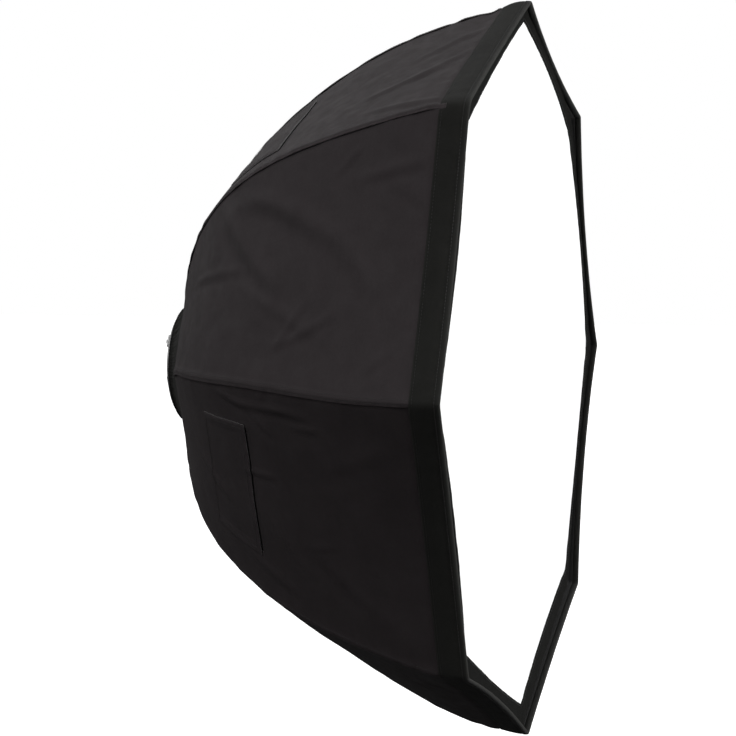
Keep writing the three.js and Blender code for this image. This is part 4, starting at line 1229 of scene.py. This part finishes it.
# ---------------------------------------------------------------- light, floor and camera
def make_world():
    """The camera sees white behind the object. The light comes from a sky that is dark below the horizon,
    bright above it and dimmer overhead."""
    world = bpy.data.worlds.new("studio")
    bpy.context.scene.world = world
    n = Nodes(world)
    n.tree.nodes.clear()
    place = n.put("ShaderNodeTexCoord").outputs["Generated"]
    direction = n.put("ShaderNodeSeparateXYZ", Vector=place).outputs
    ramps = [n.span(direction[2], *ramp, "SMOOTHSTEP") for ramp in (SKY_RISE, SKY_FALL)]
    strength = n.math("MULTIPLY", *ramps)
    light = n.put("ShaderNodeBackground", Color=grey(1), Strength=strength)
    white = n.put("ShaderNodeBackground", Color=grey(1))
    mix = n.put("ShaderNodeMixShader", Fac=n.put("ShaderNodeLightPath").outputs["Is Camera Ray"])
    n.feed(mix.inputs[1], light.outputs[0])
    n.feed(mix.inputs[2], white.outputs[0])
    n.put("ShaderNodeOutputWorld", Surface=mix.outputs[0])


def placed(data, right, up, forward, at):
    """A light or camera in the scene, at a point and looking along forward."""
    thing = bpy.data.objects.new(data.name, data)
    bpy.context.scene.collection.objects.link(thing)
    matrix = np.eye(4)
    matrix[:3] = np.stack([right, up, -forward, at], -1)
    thing.matrix_world = Matrix(matrix.tolist())
    return thing


def level_axes(forward):
    """Right, up and forward for a level view along a direction."""
    forward = unit(forward)
    right = unit(np.cross(forward, [0, 0, 1]))
    return right, np.cross(right, forward), forward


def area_light(name, at, towards, size, power):
    data = bpy.data.lights.new(name, "AREA")
    data.size = size
    data.energy = power
    placed(data, *level_axes(np.array(towards, float) - np.array(at, float)), np.array(at, float))


def make_floor():
    corners = np.array([(-1, -1, 0), (1, -1, 0), (1, 1, 0), (-1, 1, 0)], float) * FLOOR_REACH
    corners[:, 2] = -RIM_RADIUS - FLOOR_DROP
    floor = make_piece("studio_floor", (corners, [np.array([[0, 1, 2, 3]])]), "floor")
    # The floor shows to the camera and throws no light back, as under a raised stand.
    floor.visible_diffuse = False
    floor.visible_glossy = False


def turned(a, b, degrees):
    """Two axes, turned in their plane so that a moves towards b."""
    c, s = math.cos(math.radians(degrees)), math.sin(math.radians(degrees))
    return c * a + s * b, c * b - s * a


def make_camera():
    a, e = math.radians(CAMERA_AZIMUTH), math.radians(CAMERA_ELEVATION)
    back = np.array([math.sin(a) * math.cos(e), -math.cos(a) * math.cos(e), math.sin(e)])
    right, up, forward = level_axes(-back)
    forward, right = turned(forward, right, -CAMERA_YAW)
    forward, up = turned(forward, up, CAMERA_PITCH)
    right, up = turned(right, up, CAMERA_ROLL)
    data = bpy.data.cameras.new("camera")
    data.lens = CAMERA_LENS
    data.sensor_width = CAMERA_SENSOR
    data.clip_end = CAMERA_REACH
    at = np.array([0, RIM_Y, 0]) + back * CAMERA_DISTANCE
    bpy.context.scene.camera = placed(data, right, up, forward, at)


def declare_gore(k, with_pieces):
    """A gore is cut as a fan: its width at the rim by its length along the rod, with turned edges."""
    arcs = np.linspace(ARC_REAR, ARC_GORE_END, 60)
    width, length = side_length(arcs) + TURNED_EDGE, float(arcs[-1] - arcs[0])
    area = float(width.mean()) * length
    if k in FLAP_GORES:
        window = flap_width(k, (ARC_FLAP_REAR + ARC_FLAP_FRONT) / 2) - 2 * FLAP_OVERLAP
        area -= float(window * (ARC_FLAP_FRONT - ARC_FLAP_REAR))


def main():
    bpy.context.scene.view_settings.view_transform = "Standard"
    make_camera()
    make_world()
    make_floor()
    for name, settings in LIGHTS.items():
        area_light(name, *settings)
    for k in range(SIDES):
        make_rod(k)
        make_socket(k)
    flaps = {k: make_flap(i + 1, k) for i, k in enumerate(FLAP_GORES)}
    for k in range(SIDES):
        gore = make_gore(k)
        declare_gore(k, [seam_stitches(k), *(flaps[k][2] if k in flaps else [])])
    lip, trimmings = make_lip()
    sheet, border, extras = make_diffuser()
    reach = float(np.linalg.norm(diffuser_edge(np.array([0.0]))[0, [0, 2]]))
    sheet, binding = make_baffle()
    straps = [make_strap(k) for k in range(SIDES)]
    collar, elastic = make_collar()
    make_speed_ring()
    make_insert()
    make_lock()
    dress_fasteners()


main()
